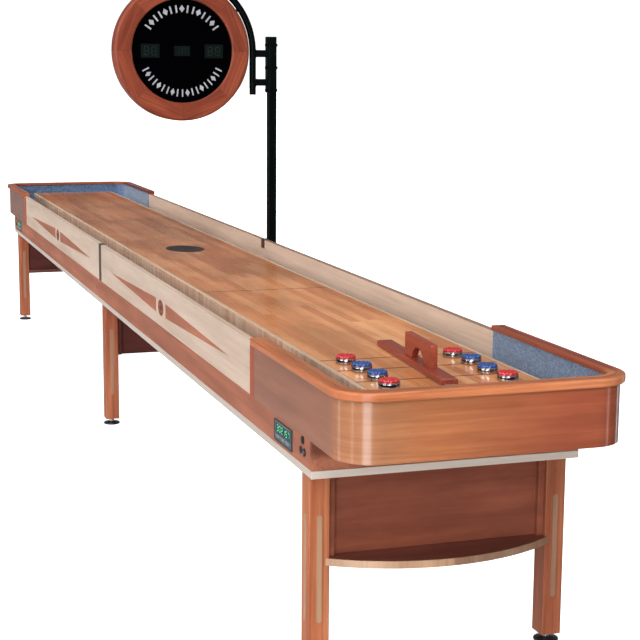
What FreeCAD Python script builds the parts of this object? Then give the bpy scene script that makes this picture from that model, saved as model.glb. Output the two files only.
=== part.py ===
# Long shuffleboard table, 22 ft class, with a post-mounted round score unit.
# All lengths are in millimetres. X runs along the table, Y across it, Z up from the floor.
# Shapes are built about the table's own centreline and moved by ROW_SHIFT on export.
import math
import os

import FreeCAD
import Part

V = FreeCAD.Vector
os.makedirs("parts", exist_ok=True)

# --- Driving dimensions -------------------------------------------------------------------
# Playfield slab
SLAB_HALF_L = 3149.6
SLAB_HALF_W = 254.0
SLAB_TOP = 793.0
SLAB_T = 76.0
EDGE_T = 12.0                 # light edge board round the slab
ZONE = 152.4                  # depth of one scoring zone
FOUL = 1828.8                 # foul line to slab end
LINE_W = 6.0
INLAY_DEPTH = 1.5
MEDALLION_A, MEDALLION_B = 130.0, 85.0   # half length along the table, half width

# Cabinet
BOARD_Z0, BOARD_Z1 = 557.0, 578.0
BOARD_HALF_L = 3076.0
BOARD_HALF_W = 390.0
CAB_Z1 = 661.0                # apron top, side panel and end cap bottom
SIDE_Z1 = 825.0
CAB_HALF_W = 390.0
WALL_T = 19.0
TRIM_START = 2497.0           # upright trim strips run from here to the end cap
TRIM_LET_IN = 4.0
CAP_START = 2545.0            # side panels stop here
CAP_END = 3353.0
CAP_HALF_W = 395.0            # the caps stand a little proud of the aprons
CAP_T = 24.0
CAP_R = 100.0
CAP_Z1 = 820.0
RAIL_Z1 = 844.0
RAIL_OUT = 13.0               # rail overhang outside the cap wall
RAIL_IN = 34.5                # rail reach inside the cap's outer face
RAIL_ROUND_OUT, RAIL_ROUND_IN = 6.0, 3.0
LIP_Z0 = 830.5                # underside of the rail's inner lip, over the liner
BEAD_HALF_W, BEAD_DEPTH = 2.0, 1.5
LINER_T, LINER_Z1 = 4.0, 830.0
JOINT_T = 2.0
JOINT_HALF_W = 25.0
JOINT_LAP = 40.0              # how far the clip reaches down the inner face

# Inlays of the side panels
INLAY_X, INLAY_Z = 1255.0, 731.0
WEDGE_L, WEDGE_HALF_H, WEDGE_GAP = 916.0, 27.0, 80.0
OVAL_A, OVAL_B = 46.0, 31.0

# Gutter and playfield support
DECK_Z0, DECK_Z1 = 682.0, 700.0
DECK_INNER_Y = 215.0
FIT = 0.5                     # working gap between boards
CARPET_T = 4.0
CARPET_GAP = 3.0
CRADLE_T = 38.0
CRADLE_XS = (0.0, 700.0, 1400.0, 2100.0, 2800.0)
ADJUSTER_XS = (350.0, 1050.0, 1750.0)
ADJUSTER_Y = 170.0            # outer face of the two angle plates
ADJUSTER_FOOT, ADJUSTER_ARM = 60.0, 45.0
ADJUSTER_T, ADJUSTER_HALF_L = 5.0, 25.0
ROD_R, ROD_HALF_L, ROD_DROP = 6.0, 190.0, 27.0

# Legs
LEG_XS = {"near": 2992.0, "mid": 0.0, "far": -2992.0}
LEG_Y = 350.0
LEG_DX, LEG_DY = 64.0, 60.0
LEG_Z0 = 27.0
LEG_R = 4.0
PANEL_Z0 = 320.0
PANEL_SETBACK = 32.0
SHELF_Z0 = 300.0
SHELF_BULGE = 3126.0
SHELF_HALF_W = 332.0
BAND_T = 5.0
STRIP_Z0, STRIP_Z1 = 140.0, 442.0
STRIP_W = 15.0
STRIP_PROUD = 1.5
STRIP_LET_IN = 2.0
CAP_SCREW_Z = 506.0
CLEAT = 18.0                  # square fillet strip in the corner between leg and panel
COVER_R, COVER_T = 8.0, 1.5   # screw covers
COVER_X, COVER_Z = 104.0, 618.0

# Levelling feet
PAD_R, PAD_H = 36.0, 12.0
STEM_R = 6.0
STEM_BORE_R = 6.6
STEM_TOP = 66.0
BORE_TOP = 72.0
PAD_BEVEL = 4.0
FOOT_NUT_H = 8.0

# Score unit on its post
POST_W, POST_WALL = 38.0, 3.0
POST_Y0 = 392.0
POST_Z0, POST_Z1 = 590.0, 1750.0
POST_ROUND = 4.0
SADDLE_XS = (-52.0, 52.0)
SADDLE_ZS = (622.0, 772.0)
SADDLE_HALF_W, SADDLE_HALF_H, SADDLE_T = 68.0, 24.0, 5.0
DISC_Y, DISC_Z = -12.0, 1682.0
RING_R, RING_BORE_R = 308.0, 228.0
RING_HALF_T = 40.0
RING_ROUND_OUT, RING_ROUND_IN, RING_ROUND_BACK = 14.0, 6.0, 2.0
SEAM_HALF_T = 0.2             # the two ring halves meet in a fine seam
FACE_X0, FACE_X1 = 22.0, 27.0
WINDOWS = ((-145.0, 42.0, 30.0), (0.0, 36.0, 22.0), (145.0, 42.0, 30.0))
WINDOW_T = 2.0
ARM_R = 333.0
TUBE_R, TUBE_WALL = 15.0, 2.5
ARM_Z0 = 1489.0
ARM_END_DEG = 96.0
ARM_BARS = ((1658.0, 1690.0), (1530.0, 1560.0))
ARM_BAR_HALF_W = 9.0
LUG_DEGS = (90.0, 35.0)
LUG_R = 7.0
WELD_IN = 2.2                 # how far bars and lugs run into the tube's wall
PLATE_T, PLATE_H = 6.0, 251.0
ARM_BOLT_ZS = (1712.0, 1611.0, 1510.0)
BOLT_R, HOLE_R = 4.0, 4.2
M8_FLATS, M8_HEAD_H = 13.0, 5.5
SHANK_L = 20.0
M12_FLATS = 19.0

# Control panels on the -Y apron, one towards each end
PANEL_X = 2828.0
PANEL_Z = 619.5
PANEL_HALF_X, PANEL_HALF_Z = 83.0, 29.5
PANEL_PROUD = 3.0
PANEL_LIP = 6.0               # how far the plate laps over the apron all round
PANEL_BACK_T = 18.0
DISPLAY_HALF_X = 62.0
DISPLAY_Z0, DISPLAY_Z1 = -2.0, 18.0
KEY_XS = (-44.0, 0.0, 44.0)
KEY_Z = -14.5
KEY_HALF_X, KEY_HALF_Z = 11.0, 4.5
KEY_PROUD = 2.6
KEY_DEPTH, KEY_WELL, KEY_GAP = 6.0, 12.0, 0.4
ROCKER_X, ROCKER_Z = 3000.0, 646.0
ROCKER_TILT = 7.0             # a switch at rest leans this far from level
JACK_X, JACK_Z = 2985.0, 616.0
LOCK_X, LOCK_Z = 3014.0, 615.0
JACK_BORE_R, JACK_BORE_L = 2.8, 10.0
ROCKER_BODY_R, JACK_BODY_R, LOCK_BODY_R = 9.0, 7.0, 8.0
ROCKER_FLANGE_R, JACK_FLANGE_R, LOCK_FLANGE_R = 12.0, 10.0, 11.0
FLANGE_T, LOCK_FLANGE_T = 2.5, 3.0
FITTING_L, FITTING_GAP = 22.0, 0.3
ROCKER_HALF_X, ROCKER_HALF_Z = 5.0, 6.4
ROCKER_GAP, ROCKER_WELL = 0.6, 7.4
ROCKER_PROUD = 4.5
PLUG_R = 6.0

# Loose pieces
PUCK_R, PUCK_H = 29.35, 25.0
PUCK_STEEL_H = 17.0
PUCKS = {
    "puck_l1": (2745.0, -181.0), "puck_l2": (2863.0, -176.0),
    "puck_l3": (2978.0, -173.0), "puck_l4": (3091.0, -182.0),
    "puck_r1": (2739.0, 149.5), "puck_r2": (2847.0, 160.5),
    "puck_r3": (2979.0, 150.5), "puck_r4": (3089.0, 160.5),
}
REST_GAP = 0.3                # air left under each loose piece
SWEEP_X, SWEEP_Y, SWEEP_TURN = 2816.0, 1.0, -3.8
SWEEP_HALF_L, SWEEP_HALF_W = 296.0, 24.0
FELT_T, SWEEP_T = 3.0, 16.0
HANDLE_X0, HANDLE_X1 = -66.0, 166.0
HANDLE_HALF_T = 9.5
HANDLE_TOP = 878.0
HANDLE_ROUND = 5.0
ARCH_HALF_W, ARCH_H = 56.0, 38.0

# The post stands outboard of one side only, so the box centre is off the table's centreline.
NUT_H = 6.5
BOLT_END = POST_Y0 + POST_W + NUT_H + 2.0
ROW_SHIFT = V(0, (CAP_HALF_W + RAIL_OUT - BOLT_END) / 2.0, 0)


# --- Helpers --------------------------------------------------------------------------------
def box(x0, x1, y0, y1, z0, z1):
    return Part.makeBox(x1 - x0, y1 - y0, z1 - z0, V(x0, y0, z0))


def mirror_x(shape):
    return shape.mirror(V(0, 0, 0), V(1, 0, 0))


def mirror_y(shape):
    return shape.mirror(V(0, 0, 0), V(0, 1, 0))


def both_ends(shape):
    return [shape, mirror_x(shape)]


def four_ways(shape):
    return both_ends(shape) + both_ends(mirror_y(shape))


def cylinder(radius, length, base, axis):
    return Part.makeCylinder(radius, length, V(*base), V(*axis))


def hexagon(flats, length, base, axis):
    """Six-sided prism standing on base and running along the Y axis direction given."""
    corner = flats / math.sqrt(3.0)
    pts = []
    for i in range(7):
        a = math.radians(60.0 * i)
        pts.append(V(base[0] + corner * math.cos(a), base[1], base[2] + corner * math.sin(a)))
    face = Part.Face(Part.makePolygon(pts))
    return face.extrude(V(0, length * axis, 0))


def vertical_edges(shape):
    found = []
    for edge in shape.Edges:
        ends = [v.Point for v in edge.Vertexes]
        if len(ends) == 2 and abs(ends[0].x - ends[1].x) < 1e-6 and abs(ends[0].y - ends[1].y) < 1e-6:
            found.append(edge)
    return found


def edges_at_z(shape, z):
    return [e for e in shape.Edges if abs(e.BoundBox.ZMin - z) < 1e-6 and abs(e.BoundBox.ZMax - z) < 1e-6]


def end_slab(x0, x1, half_w, radius, z0, z1):
    """A board whose +X end has two round corners, as seen from above."""
    k = radius * (1.0 - math.sqrt(0.5))
    p = [V(x0, -half_w, z0), V(x1 - radius, -half_w, z0), V(x1, -half_w + radius, z0),
         V(x1, half_w - radius, z0), V(x1 - radius, half_w, z0), V(x0, half_w, z0)]
    edges = [Part.makeLine(p[0], p[1]),
             Part.Arc(p[1], V(x1 - k, -half_w + k, z0), p[2]).toShape(),
             Part.makeLine(p[2], p[3]),
             Part.Arc(p[3], V(x1 - k, half_w - k, z0), p[4]).toShape(),
             Part.makeLine(p[4], p[5]),
             Part.makeLine(p[5], p[0])]
    return Part.Face(Part.Wire(edges)).extrude(V(0, 0, z1 - z0))


def end_wall(x0, outset, inset, z0, z1):
    """U-shaped wall round the +X end; outset and inset are measured from the cap's outer face."""
    outer = end_slab(x0, CAP_END + outset, CAP_HALF_W + outset, CAP_R + outset, z0, z1)
    inner = end_slab(x0 - 1, CAP_END - inset, CAP_HALF_W - inset, CAP_R - inset, z0 - 1, z1 + 1)
    return outer.cut(inner)


def export(node, shapes):
    solids = []
    for shape in shapes:
        moved = shape.copy()
        moved.translate(ROW_SHIFT)
        solids.extend(moved.Solids)
    result = solids[0] if len(solids) == 1 else Part.makeCompound(solids)
    result.exportStep("parts/" + node + ".step")


# --- Playfield --------------------------------------------------------------------------------
def build_playfield():
    bottom = SLAB_TOP - SLAB_T
    outer = box(-SLAB_HALF_L, SLAB_HALF_L, -SLAB_HALF_W, SLAB_HALF_W, bottom, SLAB_TOP)
    core = box(-SLAB_HALF_L + EDGE_T, SLAB_HALF_L - EDGE_T, -SLAB_HALF_W + EDGE_T,
               SLAB_HALF_W - EDGE_T, bottom, SLAB_TOP)
    edge = outer.cut(core)
    edge = edge.makeFillet(3.0, [e for e in edges_at_z(edge, SLAB_TOP)
                                 if abs(e.BoundBox.Center.y) > SLAB_HALF_W - 1
                                 or abs(e.BoundBox.Center.x) > SLAB_HALF_L - 1])
    inlays = []
    offsets = (ZONE, 2 * ZONE, 3 * ZONE, FOUL)
    for off in offsets:
        x = SLAB_HALF_L - off
        line = box(x - LINE_W / 2, x + LINE_W / 2, -SLAB_HALF_W + EDGE_T, SLAB_HALF_W - EDGE_T,
                   SLAB_TOP - INLAY_DEPTH, SLAB_TOP)
        inlays.extend(both_ends(line))
    z = SLAB_TOP - INLAY_DEPTH
    oval = Part.Ellipse(V(MEDALLION_A, 0, z), V(0, MEDALLION_B, z), V(0, 0, z))
    inlays.append(Part.Face(Part.Wire(oval.toShape())).extrude(V(0, 0, INLAY_DEPTH)))
    for piece in inlays:
        core = core.cut(piece)
    export("playfield_slab", [core])
    export("playfield_edge", [edge])
    export("playfield_inlays", inlays)


def build_supports():
    cradles = []
    low = CAB_HALF_W - WALL_T - FIT
    for x in CRADLE_XS:
        x0, x1 = x - CRADLE_T / 2, x + CRADLE_T / 2
        riser_z0 = DECK_Z1 if x > CAP_START else DECK_Z0
        pair = [box(x0, x1, -low, low, BOARD_Z1, DECK_Z0),
                box(x0, x1, -DECK_INNER_Y + 2, DECK_INNER_Y - 2, riser_z0, SLAB_TOP - SLAB_T)]
        for piece in pair:
            cradles.extend([piece] if x == 0 else both_ends(piece))
    export("cradles", cradles)

    adjusters = []
    top = SLAB_TOP - SLAB_T
    rod_z = top - ROD_DROP
    for x in ADJUSTER_XS:
        x0, x1 = x - ADJUSTER_HALF_L, x + ADJUSTER_HALF_L
        unit = cylinder(ROD_R, 2 * ROD_HALF_L, (x, -ROD_HALF_L, rod_z), (0, 1, 0))
        for side in (-1, 1):
            y = side * ADJUSTER_Y
            y_in = y - side * ADJUSTER_FOOT
            unit = unit.fuse(box(x0, x1, min(y, y_in), max(y, y_in), top - ADJUSTER_T, top))
            y_back = y - side * ADJUSTER_T
            unit = unit.fuse(box(x0, x1, min(y, y_back), max(y, y_back), top - ADJUSTER_ARM, top))
            unit = unit.fuse(hexagon(M12_FLATS, 10.0, (x, y, rod_z), side))
        adjusters.extend(both_ends(unit.removeSplitter()))
    export("climatic_adjusters", adjusters)


def build_gutter():
    deck_y = CAB_HALF_W - WALL_T - FIT
    deck = []
    for y0, y1 in ((DECK_INNER_Y, deck_y), (-deck_y, -DECK_INNER_Y)):
        deck.extend(both_ends(box(0, CAP_START, y0, y1, DECK_Z0, DECK_Z1)))
    inset = CAP_T + FIT
    deck.extend(both_ends(end_slab(CAP_START, CAP_END - inset, CAP_HALF_W - inset, CAP_R - inset,
                                   DECK_Z0, DECK_Z1)))
    export("gutter_deck", deck)

    z0, z1 = DECK_Z1, DECK_Z1 + CARPET_T
    inset = CAP_T + LINER_T + FIT
    start = SLAB_HALF_L + CARPET_GAP
    strip = box(0, start, SLAB_HALF_W + CARPET_GAP, CAP_HALF_W - inset, z0, z1)
    end = end_slab(start, CAP_END - inset, CAP_HALF_W - inset, CAP_R - inset, z0, z1)
    export("gutter_carpet", four_ways(strip) + both_ends(end))


# --- Cabinet ----------------------------------------------------------------------------------
def screw_holes(x_positions, z_positions, y0, y1):
    return [cylinder(HOLE_R, y1 - y0, (x, y0, z), (0, 1, 0)) for x in x_positions for z in z_positions]


def build_cabinet():
    base = box(0, BOARD_HALF_L, -BOARD_HALF_W, BOARD_HALF_W, BOARD_Z0, BOARD_Z1)
    export("base_board", both_ends(base))

    inner = CAB_HALF_W - WALL_T
    apron_l = box(0, BOARD_HALF_L - 3, -CAB_HALF_W, -inner, BOARD_Z1, CAB_Z1)
    half_x, half_z = PANEL_HALF_X - PANEL_LIP, PANEL_HALF_Z - PANEL_LIP
    window = box(PANEL_X - half_x, PANEL_X + half_x, -CAB_HALF_W - 1, -inner + 1,
                 PANEL_Z - half_z, PANEL_Z + half_z)
    apron_l = apron_l.cut(window)
    bodies = ((ROCKER_X, ROCKER_Z, ROCKER_BODY_R), (JACK_X, JACK_Z, JACK_BODY_R), (LOCK_X, LOCK_Z, LOCK_BODY_R))
    for x, z, r in bodies:
        apron_l = apron_l.cut(cylinder(r + FITTING_GAP, WALL_T + 2, (x, -CAB_HALF_W - 1, z), (0, 1, 0)))
    apron_r = box(0, BOARD_HALF_L - 3, inner, CAB_HALF_W, BOARD_Z1, CAB_Z1)
    holes_r = screw_holes(SADDLE_XS, SADDLE_ZS, inner - 1, CAB_HALF_W + 1)
    for hole in holes_r:
        apron_r = apron_r.cut(hole)
    end = box(BOARD_HALF_L - 3 - WALL_T, BOARD_HALF_L - 3, -inner, inner, BOARD_Z1, CAB_Z1)
    export("aprons", both_ends(apron_l) + [apron_r, mirror_x(apron_r)] + both_ends(end))

    panel_l = box(0, CAP_START, -CAB_HALF_W, -inner, CAB_Z1, SIDE_Z1)
    trim = box(TRIM_START, CAP_START, -CAP_HALF_W, -CAB_HALF_W + TRIM_LET_IN, CAB_Z1, CAP_Z1)
    panel_l = panel_l.cut(trim)
    panel_r = mirror_y(panel_l)
    for hole in holes_r:
        panel_r = panel_r.cut(hole)
    inlays = side_inlays()
    for piece in inlays:
        panel_l = panel_l.cut(piece)
        panel_r = panel_r.cut(mirror_y(piece))
    export("side_panels", both_ends(panel_l) + both_ends(panel_r))
    every = []
    for piece in inlays:
        every.extend(four_ways(piece))
    export("side_inlays", every)

    export("cap_trims", four_ways(trim))

    clip_l = joint_clip(CAB_Z1)
    clip_r = mirror_y(joint_clip(BOARD_Z1 + 7.0))
    for hole in screw_holes(SADDLE_XS, SADDLE_ZS, CAB_HALF_W - 1, CAB_HALF_W + JOINT_T + 1):
        clip_r = clip_r.cut(hole)
    export("joint_plates", [clip_l, clip_r])


def joint_clip(z0):
    """Folded metal strip over the butt joint of the two -Y side panels."""
    outer = box(-JOINT_HALF_W, JOINT_HALF_W, -CAB_HALF_W - JOINT_T, -CAB_HALF_W + WALL_T + JOINT_T,
                z0, SIDE_Z1 + JOINT_T)
    core = box(-JOINT_HALF_W - 1, JOINT_HALF_W + 1, -CAB_HALF_W, -CAB_HALF_W + WALL_T, z0 - 1, SIDE_Z1)
    clear = box(-JOINT_HALF_W - 1, JOINT_HALF_W + 1, -CAB_HALF_W + WALL_T - 1,
                -CAB_HALF_W + WALL_T + JOINT_T + 1, z0 - 1, SIDE_Z1 - JOINT_LAP)
    return outer.cut(core).cut(clear)


def side_inlays():
    """Two long wedges pointing away from an oval, let into a -Y side panel."""
    y0 = -CAB_HALF_W
    pieces = []
    for side in (-1, 1):
        base = INLAY_X + side * WEDGE_GAP
        tip = base + side * WEDGE_L
        pts = [V(base, y0, INLAY_Z - WEDGE_HALF_H), V(tip, y0, INLAY_Z), V(base, y0, INLAY_Z + WEDGE_HALF_H),
               V(base, y0, INLAY_Z - WEDGE_HALF_H)]
        pieces.append(Part.Face(Part.makePolygon(pts)).extrude(V(0, INLAY_DEPTH, 0)))
    ellipse = Part.Ellipse(V(INLAY_X + OVAL_A, y0, INLAY_Z), V(INLAY_X, y0, INLAY_Z + OVAL_B),
                           V(INLAY_X, y0, INLAY_Z))
    pieces.append(Part.Face(Part.Wire(ellipse.toShape())).extrude(V(0, INLAY_DEPTH, 0)))
    return pieces


def rail_edges(rail, outside):
    """Long top and bottom edges of an end rail, on its outside or on its inside."""
    found = []
    for edge in edges_at_z(rail, RAIL_Z1) + edges_at_z(rail, CAP_Z1):
        b = edge.BoundBox
        reach_y = max(abs(b.YMin), abs(b.YMax))
        on_outside = b.XMax > CAP_END + RAIL_OUT - 1 or reach_y > CAP_HALF_W + RAIL_OUT - 1
        across_open_end = b.XMax < CAP_START + 1
        if on_outside == outside and not across_open_end:
            found.append(edge)
    return found


def build_end_caps():
    wall = end_wall(CAP_START, 0.0, CAP_T, CAB_Z1, CAP_Z1)
    export("end_cap_near", [wall])
    export("end_cap_far", [mirror_x(wall)])

    rail = end_wall(CAP_START, RAIL_OUT, RAIL_IN, CAP_Z1, RAIL_Z1)
    rail = rail.makeFillet(RAIL_ROUND_OUT, rail_edges(rail, outside=True))
    rail = rail.makeFillet(RAIL_ROUND_IN, rail_edges(rail, outside=False))
    mid = (RAIL_OUT - RAIL_IN) / 2.0
    bead = end_wall(CAP_START - 1, mid + BEAD_HALF_W, BEAD_HALF_W - mid, RAIL_Z1 - BEAD_DEPTH, RAIL_Z1 + 1)
    rail = rail.cut(bead)
    rail = rail.cut(end_wall(CAP_START - 1, -CAP_T, RAIL_IN + 1, CAP_Z1 - 1, LIP_Z0))
    export("end_rail_near", [rail])
    export("end_rail_far", [mirror_x(rail)])

    liner = end_wall(CAP_START, -CAP_T, CAP_T + LINER_T, DECK_Z1, LINER_Z1)
    export("end_liners", both_ends(liner))


# --- Legs -------------------------------------------------------------------------------------
def leg_strip(x, y, face):
    """Round-ended maple strip let into one face of a leg; face is 'x+', 'x-' or 'y'."""
    half = STRIP_W / 2
    z0, z1 = STRIP_Z0 + half, STRIP_Z1 - half
    depth = STRIP_PROUD + STRIP_LET_IN
    side = 1 if y > 0 else -1
    if face == "y":
        start = y + side * (LEG_DY / 2 - STRIP_LET_IN)
        end = start + side * depth
        body = box(x - half, x + half, min(start, end), max(start, end), z0, z1)
        rounds = [cylinder(half, depth, (x, min(start, end), z), (0, 1, 0)) for z in (z0, z1)]
    else:
        sign = 1 if face == "x+" else -1
        start = x + sign * (LEG_DX / 2 - STRIP_LET_IN)
        end = start + sign * depth
        body = box(min(start, end), max(start, end), y - half, y + half, z0, z1)
        rounds = [cylinder(half, depth, (min(start, end), y, z), (1, 0, 0)) for z in (z0, z1)]
    return body.fuse(rounds[0]).fuse(rounds[1]).removeSplitter()


def build_legs():
    strips = []
    caps = []
    for name, x in LEG_XS.items():
        legs = []
        outward = -1 if name == "far" else 1
        for y in (-LEG_Y, LEG_Y):
            leg = box(x - LEG_DX / 2, x + LEG_DX / 2, y - LEG_DY / 2, y + LEG_DY / 2, LEG_Z0, BOARD_Z0)
            leg = leg.makeFillet(LEG_R, vertical_edges(leg))
            leg = leg.cut(cylinder(STEM_BORE_R, BORE_TOP - LEG_Z0 + 1, (x, y, LEG_Z0 - 1), (0, 0, 1)))
            for face in ("y", "x+", "x-"):
                strip = leg_strip(x, y, face)
                leg = leg.cut(strip)
                strips.append(strip)
            legs.append(leg)
        face_x = x + outward * LEG_DX / 2
        cap = cylinder(COVER_R, COVER_T, (face_x, LEG_Y, CAP_SCREW_Z), (outward, 0, 0))
        caps.append(cap)
        export("legs_" + name, legs)
    for cap_x in (-COVER_X, COVER_X):
        for side in (-1, 1):
            caps.append(cylinder(COVER_R, COVER_T, (cap_x, side * CAB_HALF_W, COVER_Z), (0, side, 0)))
    export("cover_caps", caps)

    panels = []
    shelves = []
    inner_y = LEG_Y - LEG_DY / 2
    for name, x in LEG_XS.items():
        outward = -1 if name == "far" else 1
        face = x + LEG_DX / 2 - PANEL_SETBACK
        board = box(face - WALL_T, face, -inner_y, inner_y, PANEL_Z0, BOARD_Z0)
        cleat = box(face, face + CLEAT, inner_y - CLEAT, inner_y, PANEL_Z0, BOARD_Z0)
        panel = board.fuse(cleat).fuse(mirror_y(cleat)).removeSplitter()
        if outward < 0:
            panel.translate(V(-x, 0, 0))
            panel = mirror_x(panel)
            panel.translate(V(x, 0, 0))
        panels.append(panel)
    export("leg_panels", panels)

    front = LEG_XS["near"] + LEG_DX / 2
    z0, z1 = SHELF_Z0, PANEL_Z0
    back = front - LEG_DX

    def bow(bulge, half):
        a, b, c = V(front, -half, z0), V(bulge, 0, z0), V(front, half, z0)
        wire = Part.Wire([Part.Arc(a, b, c).toShape(), Part.makeLine(c, a)])
        return Part.Face(wire).extrude(V(0, 0, z1 - z0))

    full = bow(SHELF_BULGE, SHELF_HALF_W)
    inside = bow(SHELF_BULGE - BAND_T, SHELF_HALF_W - BAND_T)
    tongue = box(back, front, -inner_y, inner_y, z0, z1)
    shelf = inside.fuse(tongue).removeSplitter()
    band = full.cut(inside)
    shelves.extend(both_ends(shelf))
    export("shelves", shelves)
    export("maple_trim", strips + both_ends(band))


def build_levelers():
    for name, x in LEG_XS.items():
        for side, y in (("l", -LEG_Y), ("r", LEG_Y)):
            low_h = PAD_H - PAD_BEVEL
            pad = Part.makeCone(PAD_R, PAD_R - PAD_BEVEL, PAD_BEVEL, V(x, y, low_h), V(0, 0, 1))
            pad = pad.fuse(cylinder(PAD_R, low_h, (x, y, 0), (0, 0, 1)))
            stem = cylinder(STEM_R, STEM_TOP - PAD_H + 1, (x, y, PAD_H - 1), (0, 0, 1))
            nut = hexagon(M12_FLATS, FOOT_NUT_H, (x, y, PAD_H), 1)
            nut.rotate(V(x, y, PAD_H), V(1, 0, 0), 90)
            foot = pad.fuse(stem).fuse(nut).removeSplitter()
            export("leveler_" + name + "_" + side, [foot])


# --- Score unit -------------------------------------------------------------------------------
def build_score_unit():
    half = POST_W / 2
    inner = half - POST_WALL
    centre_y = POST_Y0 + half
    tube = box(-half, half, POST_Y0, POST_Y0 + POST_W, POST_Z0, POST_Z1)
    tube = tube.makeFillet(POST_ROUND, vertical_edges(tube))
    tube = tube.cut(box(-inner, inner, centre_y - inner, centre_y + inner, POST_Z0 - 1, POST_Z1 - 3))
    for z in SADDLE_ZS:
        z0, z1 = z - SADDLE_HALF_H, z + SADDLE_HALF_H
        saddle = box(-SADDLE_HALF_W, SADDLE_HALF_W, POST_Y0, POST_Y0 + SADDLE_T, z0, z1)
        saddle = saddle.cut(box(-inner, inner, POST_Y0 - 1, POST_Y0 + SADDLE_T + 1, z0 - 1, z1 + 1))
        tube = tube.fuse(saddle)
    for hole in screw_holes(SADDLE_XS, SADDLE_ZS, POST_Y0 - 1, POST_Y0 + SADDLE_T + 1):
        tube = tube.cut(hole)
    for hole in screw_holes((0.0,), ARM_BOLT_ZS, POST_Y0 - 1, POST_Y0 + POST_W + 1):
        tube = tube.cut(hole)
    export("score_post", [tube.removeSplitter()])

    bolts = []
    for z in ARM_BOLT_ZS:
        plate_y = POST_Y0 - PLATE_T
        bolt = hexagon(M8_FLATS, M8_HEAD_H, (0, plate_y, z), -1)
        bolt = bolt.fuse(cylinder(BOLT_R, BOLT_END - plate_y, (0, plate_y, z), (0, 1, 0)))
        bolts.append(bolt.fuse(hexagon(M8_FLATS, NUT_H, (0, POST_Y0 + POST_W, z), 1)).removeSplitter())
    for x in SADDLE_XS:
        for z in SADDLE_ZS:
            bolt = hexagon(M8_FLATS, M8_HEAD_H, (x, POST_Y0 + SADDLE_T, z), 1)
            shank = cylinder(BOLT_R, SHANK_L, (x, POST_Y0 + SADDLE_T - SHANK_L, z), (0, 1, 0))
            bolts.append(bolt.fuse(shank).removeSplitter())
    export("post_bolts", bolts)

    build_arm()
    build_ring()


def build_arm():
    centre = V(0, DISC_Y, DISC_Z)
    knee = V(0, DISC_Y + ARM_R, DISC_Z)

    def rod(radius, shorten):
        """The arm's centreline as a solid rod; both ends are shortened by the same length."""
        straight = cylinder(radius, DISC_Z - ARM_Z0 - shorten, (0, knee.y, ARM_Z0 + shorten), (0, 0, 1))
        section = Part.Face(Part.Wire(Part.Circle(knee, V(0, 0, 1), radius).toShape()))
        sweep = ARM_END_DEG - math.degrees(shorten / ARM_R)
        return straight.fuse(section.revolve(centre, V(1, 0, 0), sweep))

    arm = rod(TUBE_R, 0.0).cut(rod(TUBE_R - TUBE_WALL, 3.0))
    plate_y = POST_Y0 - PLATE_T
    for z0, z1 in ARM_BARS:
        bar = box(-ARM_BAR_HALF_W, ARM_BAR_HALF_W, knee.y + TUBE_R - WELD_IN, plate_y, z0, z1)
        arm = arm.fuse(bar)
    plate = box(-POST_W / 2, POST_W / 2, plate_y, POST_Y0, POST_Z1 - PLATE_H, POST_Z1)
    for hole in screw_holes((0.0,), ARM_BOLT_ZS, plate_y - 1, POST_Y0 + 1):
        plate = plate.cut(hole)
    arm = arm.fuse(plate)
    for deg in LUG_DEGS:
        lug = cylinder(LUG_R, ARM_R - TUBE_R + WELD_IN - RING_R, (0, DISC_Y + RING_R, DISC_Z), (0, 1, 0))
        lug.rotate(centre, V(1, 0, 0), deg)
        arm = arm.fuse(lug)
    export("score_arm", [arm.removeSplitter()])


def build_ring():
    half = cylinder(RING_R, RING_HALF_T - SEAM_HALF_T, (SEAM_HALF_T, DISC_Y, DISC_Z), (1, 0, 0))
    half = half.cut(cylinder(RING_BORE_R, RING_HALF_T, (0, DISC_Y, DISC_Z), (1, 0, 0)))

    def rims(shape, x, low, high):
        found = []
        for e in shape.Edges:
            b = e.BoundBox
            if abs(b.XMin - x) < 1e-4 and abs(b.XMax - x) < 1e-4 and low < (b.YMax - b.YMin) / 2 < high:
                found.append(e)
        return found

    half = half.makeFillet(RING_ROUND_OUT, rims(half, RING_HALF_T, RING_R - 1, RING_R + 1))
    half = half.makeFillet(RING_ROUND_IN, rims(half, RING_HALF_T, RING_BORE_R - 1, RING_BORE_R + 1))
    half = half.makeFillet(RING_ROUND_BACK, rims(half, SEAM_HALF_T, RING_R - 1, RING_R + 1))
    export("score_ring", both_ends(half))

    face = cylinder(RING_BORE_R, FACE_X1 - FACE_X0, (FACE_X0, DISC_Y, DISC_Z), (1, 0, 0))
    windows = []
    for offset, half_y, half_z in WINDOWS:
        y = DISC_Y + offset
        window = box(FACE_X1 - WINDOW_T, FACE_X1, y - half_y, y + half_y, DISC_Z - half_z, DISC_Z + half_z)
        windows.append(window)
        face = face.cut(window)
    export("score_faces", both_ends(face))
    panel_windows = []
    display = panel_display()
    for sign in (1, -1):
        moved = display.copy()
        moved.translate(V(sign * PANEL_X, 0, 0))
        panel_windows.append(moved)
    score_windows = []
    for window in windows:
        score_windows.extend(both_ends(window))
    export("display_windows", score_windows + panel_windows)


# --- Control panels ---------------------------------------------------------------------------
def panel_display():
    """Green display strip of one control panel, built about X = 0."""
    face = -CAB_HALF_W - PANEL_PROUD
    return box(-DISPLAY_HALF_X, DISPLAY_HALF_X, face, face + WINDOW_T,
               PANEL_Z + DISPLAY_Z0, PANEL_Z + DISPLAY_Z1)


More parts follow.
